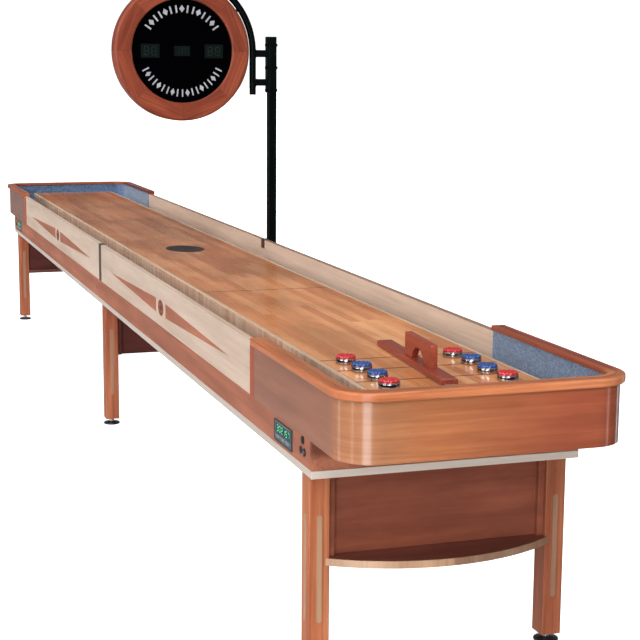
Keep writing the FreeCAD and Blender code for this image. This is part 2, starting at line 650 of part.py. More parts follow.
def build_controls():
    face = -CAB_HALF_W - PANEL_PROUD
    plate = box(-PANEL_HALF_X, PANEL_HALF_X, face, -CAB_HALF_W,
                PANEL_Z - PANEL_HALF_Z, PANEL_Z + PANEL_HALF_Z)
    half_x, half_z = PANEL_HALF_X - PANEL_LIP - FIT, PANEL_HALF_Z - PANEL_LIP - FIT
    back = box(-half_x, half_x, -CAB_HALF_W, -CAB_HALF_W + PANEL_BACK_T, PANEL_Z - half_z, PANEL_Z + half_z)
    unit = plate.fuse(back).cut(panel_display())
    gap = KEY_GAP
    key_z = PANEL_Z + KEY_Z
    for kx in KEY_XS:
        unit = unit.cut(box(kx - KEY_HALF_X - gap, kx + KEY_HALF_X + gap, face - 1, face + KEY_WELL,
                            key_z - KEY_HALF_Z - gap, key_z + KEY_HALF_Z + gap))
    unit = unit.removeSplitter()
    bezels = []
    for sign in (1, -1):
        moved = unit.copy()
        moved.translate(V(sign * PANEL_X, 0, 0))
        bezels.append(moved)
    export("panel_bezels", bezels)

    for end, sign in (("near", 1), ("far", -1)):
        for number, kx in enumerate(KEY_XS, start=1):
            key = box(kx - KEY_HALF_X, kx + KEY_HALF_X, face - KEY_PROUD, face + KEY_DEPTH,
                      key_z - KEY_HALF_Z, key_z + KEY_HALF_Z)
            front = [e for e in key.Edges if e.BoundBox.YMax < face - KEY_PROUD + 0.01]
            key = key.makeFillet(1.0, front)
            key.translate(V(sign * PANEL_X, 0, 0))
            export("key_" + end + "_" + str(number), [key])

    build_fittings()


def build_fittings():
    outer = -CAB_HALF_W
    along = (0, 1, 0)
    housing = cylinder(ROCKER_FLANGE_R, FLANGE_T, (ROCKER_X, outer - FLANGE_T, ROCKER_Z), along)
    housing = housing.fuse(cylinder(ROCKER_BODY_R, FITTING_L, (ROCKER_X, outer, ROCKER_Z), along))
    housing = housing.cut(box(ROCKER_X - ROCKER_HALF_X - ROCKER_GAP, ROCKER_X + ROCKER_HALF_X + ROCKER_GAP,
                              outer - 3, outer + 12, ROCKER_Z - ROCKER_WELL, ROCKER_Z + ROCKER_WELL))
    jack = cylinder(JACK_FLANGE_R, FLANGE_T, (JACK_X, outer - FLANGE_T, JACK_Z), along)
    jack = jack.fuse(cylinder(JACK_BODY_R, FITTING_L, (JACK_X, outer, JACK_Z), along))
    jack = jack.cut(cylinder(JACK_BORE_R, JACK_BORE_L, (JACK_X, outer - FLANGE_T, JACK_Z), along))
    barrel = cylinder(LOCK_FLANGE_R, LOCK_FLANGE_T, (LOCK_X, outer - LOCK_FLANGE_T, LOCK_Z), along)
    front = [e for e in barrel.Edges if e.BoundBox.YMax < outer - LOCK_FLANGE_T + 0.1]
    barrel = barrel.makeFillet(1.2, front)
    barrel = barrel.fuse(cylinder(LOCK_BODY_R, FITTING_L, (LOCK_X, outer, LOCK_Z), along))
    barrel = barrel.cut(cylinder(PLUG_R + 0.4, FITTING_L - 4, (LOCK_X, outer - 3.5, LOCK_Z), along))
    fittings = []
    for piece in (housing, jack, barrel):
        fittings.extend(both_ends(piece.removeSplitter()))
    export("panel_fittings", fittings)

    rocker = box(ROCKER_X - ROCKER_HALF_X, ROCKER_X + ROCKER_HALF_X, outer - ROCKER_PROUD, outer + 4.0,
                 ROCKER_Z - ROCKER_HALF_Z, ROCKER_Z + ROCKER_HALF_Z)
    rocker = rocker.makeFillet(1.5, [e for e in rocker.Edges if e.BoundBox.YMax < outer - ROCKER_PROUD + 0.1])
    rocker.rotate(V(ROCKER_X, outer, ROCKER_Z), V(1, 0, 0), -ROCKER_TILT)
    plug = cylinder(PLUG_R, 12.0, (LOCK_X, outer - 4.0, LOCK_Z), along)
    plug = plug.cut(box(LOCK_X - 0.9, LOCK_X + 0.9, outer - 5.0, outer + 2.0, LOCK_Z - 4.2, LOCK_Z + 4.2))
    for end, pick in (("near", lambda s: s), ("far", mirror_x)):
        export("rocker_" + end, [pick(rocker)])
        export("key_lock_" + end, [pick(plug)])


# --- Loose pieces -----------------------------------------------------------------------------
def build_pucks():
    up = (0, 0, 1)
    z0 = SLAB_TOP + REST_GAP
    z1 = z0 + PUCK_STEEL_H
    for name, (x, y) in PUCKS.items():
        steel = cylinder(PUCK_R, PUCK_STEEL_H, (x, y, z0), up)
        steel = steel.makeFillet(2.0, edges_at_z(steel, z0))
        groove = cylinder(PUCK_R + 1, 2.0, (x, y, z0 + 13.0), up)
        groove = groove.cut(cylinder(PUCK_R - 1.2, 2.0, (x, y, z0 + 13.0), up))
        steel = steel.cut(groove)
        steel = steel.cut(cylinder(22.0, 7.0, (x, y, z1 - 7.0), up))
        cap = cylinder(PUCK_R - 2.0, PUCK_H - PUCK_STEEL_H, (x, y, z1), up)
        cap = cap.makeFillet(2.0, edges_at_z(cap, z0 + PUCK_H))
        cap = cap.cut(cylinder(PUCK_R - 9.0, 3.0, (x, y, z0 + PUCK_H - 2.0), up))
        cap = cap.cut(cylinder(25.0, 4.5, (x, y, z1), up))
        export(name, [steel, cap])


def placed_sweep(shape):
    shape.rotate(V(0, 0, 0), V(0, 0, 1), SWEEP_TURN)
    shape.translate(V(SWEEP_X, SWEEP_Y, 0))
    return shape


def build_sweep():
    z0 = SLAB_TOP + REST_GAP
    z1 = z0 + FELT_T
    z2 = z1 + SWEEP_T
    felt = box(-SWEEP_HALF_L + 4, SWEEP_HALF_L - 4, -SWEEP_HALF_W + 3, SWEEP_HALF_W - 3, z0, z1)
    export("sweep_felt", [placed_sweep(felt)])
    board = box(-SWEEP_HALF_L, SWEEP_HALF_L, -SWEEP_HALF_W, SWEEP_HALF_W, z1, z2)
    board = board.makeChamfer(4.0, edges_at_z(board, z2))
    export("sweep_board", [placed_sweep(board)])

    mid = (HANDLE_X0 + HANDLE_X1) / 2
    plate = box(HANDLE_X0, HANDLE_X1, -HANDLE_HALF_T, HANDLE_HALF_T, z2, HANDLE_TOP)
    corners = [e for e in plate.Edges if abs(e.BoundBox.ZMin - HANDLE_TOP) < 1e-6
               and e.BoundBox.XMax - e.BoundBox.XMin < 1e-6]
    plate = plate.makeFillet(HANDLE_ROUND, corners)
    arch_r = (ARCH_HALF_W ** 2 + ARCH_H ** 2) / (2 * ARCH_H)
    arch = cylinder(arch_r, 40.0, (mid, -20.0, z2 + ARCH_H - arch_r), (0, 1, 0))
    export("sweep_handle", [placed_sweep(plate.cut(arch))])


build_playfield()
build_supports()
build_gutter()
build_cabinet()
build_end_caps()
build_legs()
build_levelers()
build_score_unit()
build_controls()
build_pucks()
build_sweep()
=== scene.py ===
# Long shuffleboard table: finishes, fine detail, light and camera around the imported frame.
# Lengths are in metres; the turned profiles and ROUNDED are in millimetres.
import math
import random

import bpy
from mathutils import Matrix, Vector


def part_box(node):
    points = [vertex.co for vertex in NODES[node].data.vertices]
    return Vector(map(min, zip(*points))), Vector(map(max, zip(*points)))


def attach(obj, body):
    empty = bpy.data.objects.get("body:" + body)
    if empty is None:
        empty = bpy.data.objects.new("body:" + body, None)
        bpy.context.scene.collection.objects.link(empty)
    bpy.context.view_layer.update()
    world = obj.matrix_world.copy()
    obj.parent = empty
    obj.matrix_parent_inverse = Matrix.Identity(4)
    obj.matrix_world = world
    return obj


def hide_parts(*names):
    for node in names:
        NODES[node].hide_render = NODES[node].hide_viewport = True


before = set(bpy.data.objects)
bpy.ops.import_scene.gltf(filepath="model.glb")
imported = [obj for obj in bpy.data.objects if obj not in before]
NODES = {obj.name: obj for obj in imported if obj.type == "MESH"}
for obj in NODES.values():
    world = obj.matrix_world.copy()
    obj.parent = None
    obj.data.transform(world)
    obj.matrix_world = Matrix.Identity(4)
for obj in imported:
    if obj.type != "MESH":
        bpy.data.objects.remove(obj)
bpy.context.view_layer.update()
MM = 0.001
SCENE = bpy.context.scene


def middle(node):
    low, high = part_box(node)
    return [(a + b) / 2 for a, b in zip(low, high)]


def foot_point(node):
    """Middle of the underside of a node's box."""
    x, y, _ = middle(node)
    return (x, y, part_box(node)[0][2])


# The table's own centreline: the post stands outboard of one side, so it is not at Y = 0.
CENTRE_Y = middle("side_panels")[1]
CAP_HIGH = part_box("end_cap_near")[1]
CAP_END_X = CAP_HIGH[0]
CAP_HALF_W = (CAP_HIGH[1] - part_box("end_cap_near")[0][1]) / 2
CAP_CORNER = 100 * MM
DISC = Vector(middle("score_ring"))
BOARD_END_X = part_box("aprons")[1][0]
PANEL_HALF_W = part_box("side_panels")[1][1] - CENTRE_Y
PANEL_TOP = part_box("side_panels")[1][2]
PLAYFIELD_END_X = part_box("playfield_edge")[1][0]
ZONES = (152.4 * MM, 304.8 * MM, 457.2 * MM, 1828.8 * MM)   # from an end of the playfield to each line
RING_PIECES = 8


# --- Camera ---------------------------------------------------------------------------------
CAMERA_X, CAMERA_OFF_CENTRE, CAMERA_Z = 6.7365, -1.5857, 1.6327
CAMERA_YAW, CAMERA_PITCH, CAMERA_ROLL = 18.375, 9.598, 0.397      # degrees
CAMERA_LENS, CAMERA_SENSOR = 85.41, 36.0                          # millimetres


def build_camera():
    yaw, pitch, roll = (math.radians(turn) for turn in (CAMERA_YAW, CAMERA_PITCH, CAMERA_ROLL))
    forward = Vector((-math.cos(yaw) * math.cos(pitch), math.sin(yaw) * math.cos(pitch), -math.sin(pitch)))
    right = forward.cross(Vector((0, 0, 1))).normalized()
    up = right.cross(forward)
    x_axis = math.cos(roll) * right + math.sin(roll) * up
    y_axis = -math.sin(roll) * right + math.cos(roll) * up
    data = bpy.data.cameras.new("camera")
    data.lens = CAMERA_LENS
    data.sensor_width = CAMERA_SENSOR
    data.clip_end = 200.0
    camera = bpy.data.objects.new("camera", data)
    SCENE.collection.objects.link(camera)
    turn = Matrix((x_axis, y_axis, -forward)).transposed().to_4x4()
    camera.matrix_world = Matrix.Translation((CAMERA_X, CENTRE_Y + CAMERA_OFF_CENTRE, CAMERA_Z)) @ turn
    SCENE.camera = camera


# --- Material graphs ----------------------------------------------------------------------------
class Nodes:
    """A node tree, with a short call for each kind of node used here."""

    def __init__(self, tree):
        self.tree = tree

    def feed(self, socket, value):
        if isinstance(value, bpy.types.NodeSocket):
            self.tree.links.new(value, socket)
        elif socket.type == "RGBA" and len(value) == 3:
            socket.default_value = (*value, 1.0)
        else:
            socket.default_value = value

    def add(self, kind, inputs, output=0, **props):
        node = self.tree.nodes.new("ShaderNode" + kind)
        for key, value in props.items():
            setattr(node, key, value)
        for key, value in inputs.items():
            self.feed(node.inputs[key], value)
        return node.outputs[output]

    def math(self, operation, a, b=0.0, c=0.0):
        return self.add("Math", {0: a, 1: b, 2: c}, operation=operation)

    def split(self, vector):
        node = self.tree.nodes.new("ShaderNodeSeparateXYZ")
        self.feed(node.inputs[0], vector)
        return list(node.outputs)

    def join(self, x, y, z):
        return self.add("CombineXYZ", {0: x, 1: y, 2: z})

    def scaled(self, vector, factors):
        return self.add("VectorMath", {0: vector, 1: factors}, operation="MULTIPLY")

    def moved(self, vector, offset):
        return self.add("VectorMath", {0: vector, 1: offset}, operation="ADD")

    def noise(self, vector, scale=1.0, detail=3.0, roughness=0.5, distortion=0.0):
        return self.add("TexNoise", {"Vector": vector, "Scale": scale, "Detail": detail,
                                     "Roughness": roughness, "Distortion": distortion})

    def cells(self, vector, scale, output="Distance"):
        return self.add("TexVoronoi", {"Vector": vector, "Scale": scale}, output)

    def random(self, vector):
        return self.add("TexWhiteNoise", {"Vector": vector})

    def range(self, value, low, high, to_low=0.0, to_high=1.0):
        return self.add("MapRange", {"Value": value, "From Min": low, "From Max": high,
                                     "To Min": to_low, "To Max": to_high}, interpolation_type="SMOOTHSTEP")

    def mix(self, factor, a, b, blend="MIX"):
        return self.add("Mix", {0: factor, 6: a, 7: b}, 2, data_type="RGBA", blend_type=blend)

    def ramp(self, value, stops):
        node = self.tree.nodes.new("ShaderNodeValToRGB")
        self.feed(node.inputs[0], value)
        elements = node.color_ramp.elements
        while len(elements) < len(stops):
            elements.new(0.5)
        for element, (place, colour) in zip(elements, stops):
            element.position = place
            element.color = (*colour, 1.0)
        return node.outputs[0]


class Graph(Nodes):
    """One material: a Principled shader and the nodes that feed it."""

    def __init__(self, name, **settings):
        self.mat = bpy.data.materials.new(name)
        self.mat.use_nodes = True
        super().__init__(self.mat.node_tree)
        self.tree.nodes.clear()
        out = self.tree.nodes.new("ShaderNodeOutputMaterial")
        self.bsdf = self.tree.nodes.new("ShaderNodeBsdfPrincipled")
        self.tree.links.new(self.bsdf.outputs[0], out.inputs[0])
        for key, value in settings.items():
            self.set(key.replace("_", " "), value)
        self.object = self.add("TexCoord", {}, "Object")

    def set(self, key, value):
        self.feed(self.bsdf.inputs[key], value)

    def bump(self, height, strength, depth):
        self.set("Normal", self.add("Bump", {"Height": height, "Strength": strength, "Distance": depth}))


def tint(colour, factor):
    return tuple(min(1.0, c * factor) for c in colour)


# --- Wood -----------------------------------------------------------------------------------------
def along(axis):
    """Grain runs straight along one axis: the coordinates are turned so that X is along it."""
    def turned(g):
        x, y, z = g.split(g.object)
        return {"x": g.join(x, y, z), "z": g.join(z, x, y), "y": g.join(y, z, x)}[axis]
    return turned


def round_the_end(g):
    """Grain follows the cap's rounded outline: its rows are layers of height and of depth."""
    x, y, z = g.split(g.object)
    qx = g.math("SUBTRACT", g.math("ABSOLUTE", x), CAP_END_X - CAP_CORNER)
    qy = g.math("SUBTRACT", g.math("ABSOLUTE", g.math("SUBTRACT", y, CENTRE_Y)), CAP_HALF_W - CAP_CORNER)
    outside = g.add("VectorMath", {0: g.join(g.math("MAXIMUM", qx, 0.0), g.math("MAXIMUM", qy, 0.0), 0.0)},
                    "Value", operation="LENGTH")
    inside = g.math("MINIMUM", g.math("MAXIMUM", qx, qy), 0.0)
    depth = g.math("ADD", outside, inside)
    run = g.math("ADD", g.math("MULTIPLY", x, 0.8), y)
    return g.join(run, g.math("MULTIPLY", depth, 1.3), z)


def round_the_ring(pieces):
    """A ring glued up from straight-grained pieces, each turned with its place on the ring."""
    def turned(g):
        x, y, z = g.split(g.moved(g.object, tuple(-DISC)))
        step = 2 * math.pi / pieces
        place = g.math("FLOOR", g.math("DIVIDE", g.math("ARCTAN2", z, y), step))
        angle = g.math("MULTIPLY", g.math("ADD", place, 0.5), step)
        cos, sin = g.math("COSINE", angle), g.math("SINE", angle)
        run = g.math("SUBTRACT", g.math("MULTIPLY", z, cos), g.math("MULTIPLY", y, sin))
        out = g.math("ADD", g.math("MULTIPLY", y, cos), g.math("MULTIPLY", z, sin))
        return g.join(g.math("ADD", run, g.math("MULTIPLY", place, 3.7)), out, x)
    return turned


def wood(name, colours, grain, figure=1.0, blotch=0.16, rough=0.42, coat=0.2, coat_rough=0.22, seams=None,
         gloss=0.35, tone=None):
    """Lacquered wood; colours run from the darkest vessels to the palest grain. Where tone is given, it can
    multiply in painted shade and painted highlights.
    """
    dark, main, pale = colours
    g = Graph(name, Specular_IOR_Level=gloss, Coat_Weight=coat, Coat_Roughness=coat_rough)
    grained = grain(g)
    sweep = g.noise(g.scaled(grained, (1.1, 16.0, 16.0)), 1.0, 5.0, 0.55, 0.5)
    streaks = g.noise(g.scaled(grained, (2.6, 120.0, 120.0)), 1.0, 5.0, 0.62, 0.12)
    pores = g.noise(g.scaled(grained, (26.0, 900.0, 900.0)), 1.0, 2.0, 0.6)
    cloud = g.noise(g.scaled(grained, (3.0, 14.0, 14.0)), 1.0, 4.0, 0.6)
    value = g.math("ADD", g.math("MULTIPLY", sweep, 0.5), g.math("MULTIPLY", streaks, 0.5))
    colour = g.ramp(g.range(value, 0.5 - 0.22 / figure, 0.5 + 0.22 / figure),
                    [(0.0, dark), (0.5, main), (1.0, pale)])
    stain = g.range(cloud, 0.3, 0.7, 1.0 - blotch, 1.0 + blotch * 0.4)
    colour = g.mix(1.0, colour, g.join(stain, stain, stain), "MULTIPLY")
    if tone:
        colour = tone(g, colour)
    flecks = g.range(pores, 0.6, 0.78, 0.0, 0.3)
    colour = g.mix(flecks, colour, tint(dark, 0.6))
    if seams:
        colour = g.mix(g.math("MULTIPLY", seams(g), 0.5), colour, tint(dark, 0.35))
    g.set("Base Color", colour)
    g.set("Roughness", g.range(streaks, 0.3, 0.7, rough - 0.06, rough + 0.08))
    g.bump(g.math("ADD", g.math("MULTIPLY", pores, -0.5), g.math("MULTIPLY", streaks, 0.5)), 0.18, 0.0004)
    return g.mat


def cap_painted_light(g, colour):
    """Painted light on the end caps: a pale painted highlight round the -Y corner, painted shade growing
    darker and redder towards the +Y corner and deepest at it, and painted shade along the sides; the far end
    is darker too.
    """
    x, y, _ = g.split(g.object)
    side = g.range(g.math("ABSOLUTE", x), CAP_END_X - 0.15, CAP_END_X - 0.05, 1.0, 0.0)
    across = g.math("SUBTRACT", y, CENTRE_Y)
    corner = g.math("MULTIPLY", g.range(across, -0.33, -0.16, 1.0, 0.0), g.math("SUBTRACT", 1.0, side))
    # Painted highlight: the -Y corner paler and bluer.
    colour = g.mix(corner, colour, (0.84, 1.0, 1.25), "MULTIPLY")
    # Painted shade: darker and redder towards the +Y side.
    colour = g.mix(g.range(across, -0.26, 0.26), colour, (0.64, 0.42, 0.48), "MULTIPLY")
    # Painted shade: darkest at the +Y corner.
    colour = g.mix(g.range(across, 0.33, 0.40), colour, (0.42, 0.34, 0.42), "MULTIPLY")
    # Darker at the far end.
    colour = g.mix(g.range(x, -1.0, 1.0, 1.0, 0.0), colour, (0.78, 0.68, 0.74), "MULTIPLY")
    # Painted shade on the sides of the cap.
    return g.mix(side, colour, (0.70, 0.70, 0.92), "MULTIPLY")


def apron_painted_shadow(g, colour):
    """Painted shadow: the end boards are darker along the top, where the cap overhangs them."""
    x, _, z = g.split(g.object)
    end = g.math("GREATER_THAN", g.math("ABSOLUTE", x), BOARD_END_X - 0.012)
    top = g.range(z, 0.600, 0.632, 0.0, 0.85)
    # Painted shadow of the cap across the top of each end board.
    return g.mix(g.math("MULTIPLY", end, top), colour, (0.35, 0.30, 0.34), "MULTIPLY")


def rail_painted_shade(g, colour):
    """Painted shade: dark red along the +Y side, which faces away from the lights; darker and redder all
    round the far end too.
    """
    x, y, _ = g.split(g.object)
    side = g.range(g.math("ABSOLUTE", x), CAP_END_X - 0.13, CAP_END_X - 0.05, 1.0, 0.0)
    right = g.math("MULTIPLY", g.range(g.math("SUBTRACT", y, CENTRE_Y), 0.2, 0.34), side)
    colour = g.mix(g.range(x, -1.0, 1.0, 1.0, 0.0), colour, (0.62, 0.46, 0.46), "MULTIPLY")
    # Painted shade along the +Y side of the rail.
    return g.mix(right, colour, (0.62, 0.42, 0.48), "MULTIPLY")


def right_side_painted_shade(g, colour):
    """Painted shade on the boards of the +Y side, which face away from the lights; the middle and far legs
    are darker and browner too.
    """
    x, y, _ = g.split(g.object)
    # Painted shade on the +Y side.
    colour = g.mix(g.math("GREATER_THAN", y, CENTRE_Y), colour, (0.62, 0.57, 0.61), "MULTIPLY")
    return g.mix(g.range(x, 0.5, 2.5, 1.0, 0.0), colour, (0.74, 0.66, 0.70), "MULTIPLY")


def leg_panel_tone(g, colour):
    """The middle and far panels are darker than the near one."""
    x = g.split(g.object)[0]
    return g.mix(g.range(x, 0.5, 2.5, 1.0, 0.0), colour, (0.42, 0.36, 0.50), "MULTIPLY")


def panel_painted_light(g, colour):
    """Painted light: the inner faces are painted paler and warmer, the outer faces a little darker; the +Y
    panels' top edges are dark.
    """
    _, y, z = g.split(g.object)
    off = g.math("ABSOLUTE", g.math("SUBTRACT", y, CENTRE_Y))
    inner = g.math("LESS_THAN", off, PANEL_HALF_W - 0.004)
    on_top = g.math("GREATER_THAN", z, PANEL_TOP - 0.0015)
    top = g.math("MULTIPLY", on_top, g.math("GREATER_THAN", y, CENTRE_Y))
    colour = g.mix(top, colour, (0.42, 0.36, 0.32), "MULTIPLY")
    # Painted light: inner faces lighter, outer faces darker.
    return g.mix(inner, g.mix(1.0, colour, (0.90, 0.89, 0.89), "MULTIPLY"),
                 g.mix(1.0, colour, (1.12, 1.06, 1.02), "MULTIPLY"))


def ring_seams(pieces):
    """Thin dark glue lines between the ring's pieces."""
    def lines(g):
        _, y, z = g.split(g.moved(g.object, tuple(-DISC)))
        turns = g.math("MULTIPLY", g.math("ARCTAN2", z, y), pieces / (2 * math.pi))
        gap = g.math("ABSOLUTE", g.math("SUBTRACT", turns, g.math("ROUND", turns)))
        return g.range(gap, 0.0, 0.006, 1.0, 0.0)
    return lines


def zone_lines(g):
    """1 on the dark lines across the playfield: three short zones and the foul line at each end."""
    x = g.math("ABSOLUTE", g.split(g.object)[0])
    line = 0.0
    for reach in ZONES:
        off = g.math("ABSOLUTE", g.math("SUBTRACT", x, PLAYFIELD_END_X - reach))
        line = g.math("MAXIMUM", line, g.range(off, 0.0025, 0.0045, 0.85, 0.0))
    return line


def playfield_wood():
    """Edge-glued maple strips of random lengths under a thick gloss coat."""
    strip, block = 34 * MM, 0.75
    g = Graph("laminated_maple_gloss", Specular_IOR_Level=0.1, Coat_Weight=0.22, Coat_Roughness=0.05,
              Coat_IOR=1.4)
    x, y, z = g.split(g.object)
    across = g.math("DIVIDE", g.math("SUBTRACT", y, CENTRE_Y), strip)
    row = g.math("FLOOR", across)
    shift = g.random(g.join(row, 3.3, 0.0))
    run = g.math("ADD", g.math("DIVIDE", x, block), g.math("MULTIPLY", shift, 7.0))
    place = g.math("FLOOR", run)
    tone = g.random(g.join(row, place, 1.7))
    drift = g.math("MULTIPLY", tone, 9.0)
    grained = g.join(g.math("ADD", x, drift), g.math("ADD", y, drift), z)
    fine = g.noise(g.scaled(grained, (3.0, 140.0, 140.0)), 1.0, 5.0, 0.6, 0.3)
    wide = g.noise(g.scaled(grained, (1.6, 17.0, 17.0)), 1.0, 4.0, 0.55, 1.0)
    patch = g.noise(g.scaled(g.object, (1.6, 4.5, 1.0)), 1.0, 4.0, 0.6)
    value = g.math("ADD", g.math("MULTIPLY", tone, 0.5), g.math("MULTIPLY", fine, 0.08))
    value = g.math("ADD", value, g.math("MULTIPLY", wide, 0.42))
    colour = g.ramp(value, [(0.14, (0.44, 0.15, 0.055)), (0.4, (0.53, 0.21, 0.08)),
                            (0.66, (0.62, 0.29, 0.125)), (0.95, (0.73, 0.41, 0.205))])
    warm = g.range(patch, 0.35, 0.65, 0.90, 1.30)
    colour = g.mix(1.0, colour, g.join(warm, warm, warm), "MULTIPLY")
    # Darker and more orange towards the far end (-X).
    far_end_darkening = g.ramp(g.math("MULTIPLY_ADD", x, 1 / 6.4, 0.5),
                  [(0.0, (0.60, 0.45, 0.37)), (0.64, (0.80, 0.72, 0.72)), (0.82, (1.0, 0.99, 1.0))])
    colour = g.mix(1.0, colour, far_end_darkening, "MULTIPLY")
    seam_y = g.math("ABSOLUTE", g.math("SUBTRACT", across, g.math("ROUND", across)))
    seam_x = g.math("ABSOLUTE", g.math("SUBTRACT", run, g.math("ROUND", run)))
    line = g.math("MAXIMUM", g.range(seam_y, 0.0, 0.022, 1.0, 0.0), g.range(seam_x, 0.0, 0.0012, 1.0, 0.0))
    colour = g.mix(g.math("MULTIPLY", line, 0.2), colour, (0.16, 0.07, 0.03))
    colour = g.mix(zone_lines(g), colour, (0.05, 0.03, 0.02))
    g.set("Base Color", colour)
    g.set("Roughness", g.range(fine, 0.3, 0.7, 0.26, 0.34))
    swell = g.noise(g.scaled(g.object, (5.0, 16.0, 1.0)), 1.0, 2.0, 0.4)
    g.bump(g.math("ADD", g.math("MULTIPLY", swell, 0.6), g.math("MULTIPLY", fine, 0.02)), 0.05, 0.002)
    return g.mat


def slab_edge_wood():
    """Pale edge board; its outer sides show the ends of short upright blocks."""
    g = Graph("edge_maple_gloss", Specular_IOR_Level=0.08, Coat_Weight=0.05, Coat_Roughness=0.06)
    x, y, z = g.split(g.object)
    nz = g.split(g.add("NewGeometry", {}, "Normal"))[2]
    top = g.range(g.math("ABSOLUTE", nz), 0.3, 0.8)
    run = g.math("ADD", x, y)
    block = g.math("FLOOR", g.math("DIVIDE", run, 21 * MM))
    tone = g.random(g.join(block, 0.5, 2.0))
    streak = g.noise(g.join(g.math("MULTIPLY", run, 160.0), 0.0, g.math("MULTIPLY", z, 8.0)), 1.0, 4.0, 0.6)
    side = g.math("ADD", g.math("MULTIPLY", tone, 0.55), g.math("MULTIPLY", streak, 0.45))
    side_colour = g.ramp(side, [(0.15, (0.54, 0.32, 0.20)), (0.5, (0.68, 0.43, 0.285)),
                                (0.9, (0.86, 0.62, 0.46))])
    fine = g.noise(g.scaled(g.object, (2.5, 90.0, 90.0)), 1.0, 4.0, 0.6, 0.3)
    top_colour = g.ramp(fine, [(0.3, (0.50, 0.34, 0.22)), (0.5, (0.60, 0.44, 0.31)),
                               (0.75, (0.68, 0.53, 0.40))])
    g.set("Base Color", g.mix(top, side_colour, top_colour))
    g.set("Roughness", g.range(fine, 0.3, 0.7, 0.24, 0.34))
    g.bump(streak, 0.1, 0.0003)
    return g.mat


# --- Other finishes ---------------------------------------------------------------------------------
def carpet(name, dark, pale, loop=1.7 * MM):
    """Short looped pile with flecks of two yarns."""
    g = Graph(name, Roughness=0.95, Specular_IOR_Level=0.15, Sheen_Weight=0.5, Sheen_Roughness=0.5)
    loops = g.cells(g.object, 1 / loop)
    yarn = g.random(g.cells(g.object, 0.45 / loop, "Position"))
    clump = g.noise(g.object, 170.0, 3.0, 0.7)
    wide = g.noise(g.object, 12.0, 3.0, 0.5)
    value = g.math("ADD", g.math("MULTIPLY", yarn, 0.3), g.math("MULTIPLY", clump, 0.6))
    value = g.math("ADD", value, g.math("MULTIPLY", wide, 0.1))
    between = tuple((a + b) / 2 for a, b in zip(dark, pale))
    colour = g.ramp(value, [(0.34, dark), (0.5, between), (0.66, pale)])
    # Painted shade between the loops of the pile: darker away from the middle of each loop.
    shade = g.range(loops, 0.2, 0.75, 1.08, 0.55)
    g.set("Base Color", g.mix(1.0, colour, g.join(shade, shade, shade), "MULTIPLY"))
    g.bump(g.math("ADD", g.math("MULTIPLY", loops, -1.0), g.math("MULTIPLY", clump, 0.8)), 0.9, 0.0022)
    return g.mat


def plastic(name, colour, rough=0.35, coat=0.0, grain=900.0, relief=0.0001, worn=0.15, **settings):
    """Moulded or painted surface: fine texture, slow tone changes and slightly uneven gloss."""
    g = Graph(name, Coat_Weight=coat, Coat_Roughness=0.08, **settings)
    slow = g.noise(g.object, 14.0, 4.0, 0.6)
    fine = g.noise(g.object, grain, 3.0, 0.6)
    g.set("Base Color", g.mix(g.range(slow, 0.3, 0.7), tint(colour, 1 - worn), tint(colour, 1 + worn)))
    g.set("Roughness", g.range(slow, 0.25, 0.75, rough - 0.05, rough + 0.08))
    g.bump(fine, 0.35, relief)
    return g.mat


def metal(name, colour, rough, line_scale, spots=0.0):
    """Bare or plated metal, with fine polishing marks that lie level."""
    g = Graph(name, Metallic=1.0)
    brushed = g.noise(g.scaled(g.object, (3.0, 3.0, line_scale)), 1.0, 3.0, 0.6)
    patches = g.noise(g.object, 60.0, 4.0, 0.6)
    dull = tint(colour, 0.72)
    g.set("Base Color", g.mix(g.range(patches, 0.45, 0.75, 0.0, spots + 0.25), colour, dull))
    g.set("Roughness", g.math("ADD", g.range(brushed, 0.3, 0.7, rough * 0.7, rough * 1.3),
                              g.range(patches, 0.4, 0.8, 0.0, 0.06)))
    g.bump(brushed, 0.15, 0.00006)
    return g.mat


def ply_edge():
    """Pale band on the bottom board's edge, with faint layers and long streaks."""
    g = Graph("pale_edge_band", Specular_IOR_Level=0.4, Coat_Weight=0.25, Coat_Roughness=0.25)
    x, y, z = g.split(g.object)
    run = g.math("ADD", x, y)
    streak = g.noise(g.join(g.math("MULTIPLY", run, 2.0), 0.0, g.math("MULTIPLY", z, 220.0)), 1.0, 5.0, 0.6)
    wide = g.noise(g.join(g.math("MULTIPLY", run, 1.2), 0.0, g.math("MULTIPLY", z, 30.0)), 1.0, 3.0, 0.5)
    value = g.math("ADD", g.math("MULTIPLY", streak, 0.6), g.math("MULTIPLY", wide, 0.4))
    g.set("Base Color", g.ramp(value, [(0.3, (0.38, 0.32, 0.275)), (0.5, (0.48, 0.41, 0.36)),
                                       (0.72, (0.57, 0.50, 0.45))]))
    g.set("Roughness", g.range(streak, 0.3, 0.7, 0.38, 0.5))
    g.bump(streak, 0.15, 0.0003)
    return g.mat


# Wood stains: the darkest vessels, the main tone and the palest grain.
CHERRY = ((0.30, 0.08, 0.028), (0.445, 0.142, 0.055), (0.56, 0.215, 0.095))
CAP_WOOD = ((0.265, 0.081, 0.028), (0.375, 0.13, 0.047), (0.47, 0.186, 0.077))
LEG_RED = ((0.25, 0.066, 0.027), (0.37, 0.120, 0.053), (0.47, 0.185, 0.088))
TRIM_RED = ((0.23, 0.042, 0.014), (0.33, 0.064, 0.022), (0.42, 0.095, 0.036))
APRON = ((0.22, 0.074, 0.041), (0.32, 0.112, 0.064), (0.41, 0.155, 0.094))
RING_RED = ((0.128, 0.024, 0.012), (0.182, 0.037, 0.0175), (0.255, 0.062, 0.030))
SWEEP_RED = ((0.185, 0.030, 0.015), (0.27, 0.046, 0.024), (0.35, 0.073, 0.040))
DARK = ((0.118, 0.031, 0.018), (0.175, 0.050, 0.028), (0.225, 0.072, 0.041))
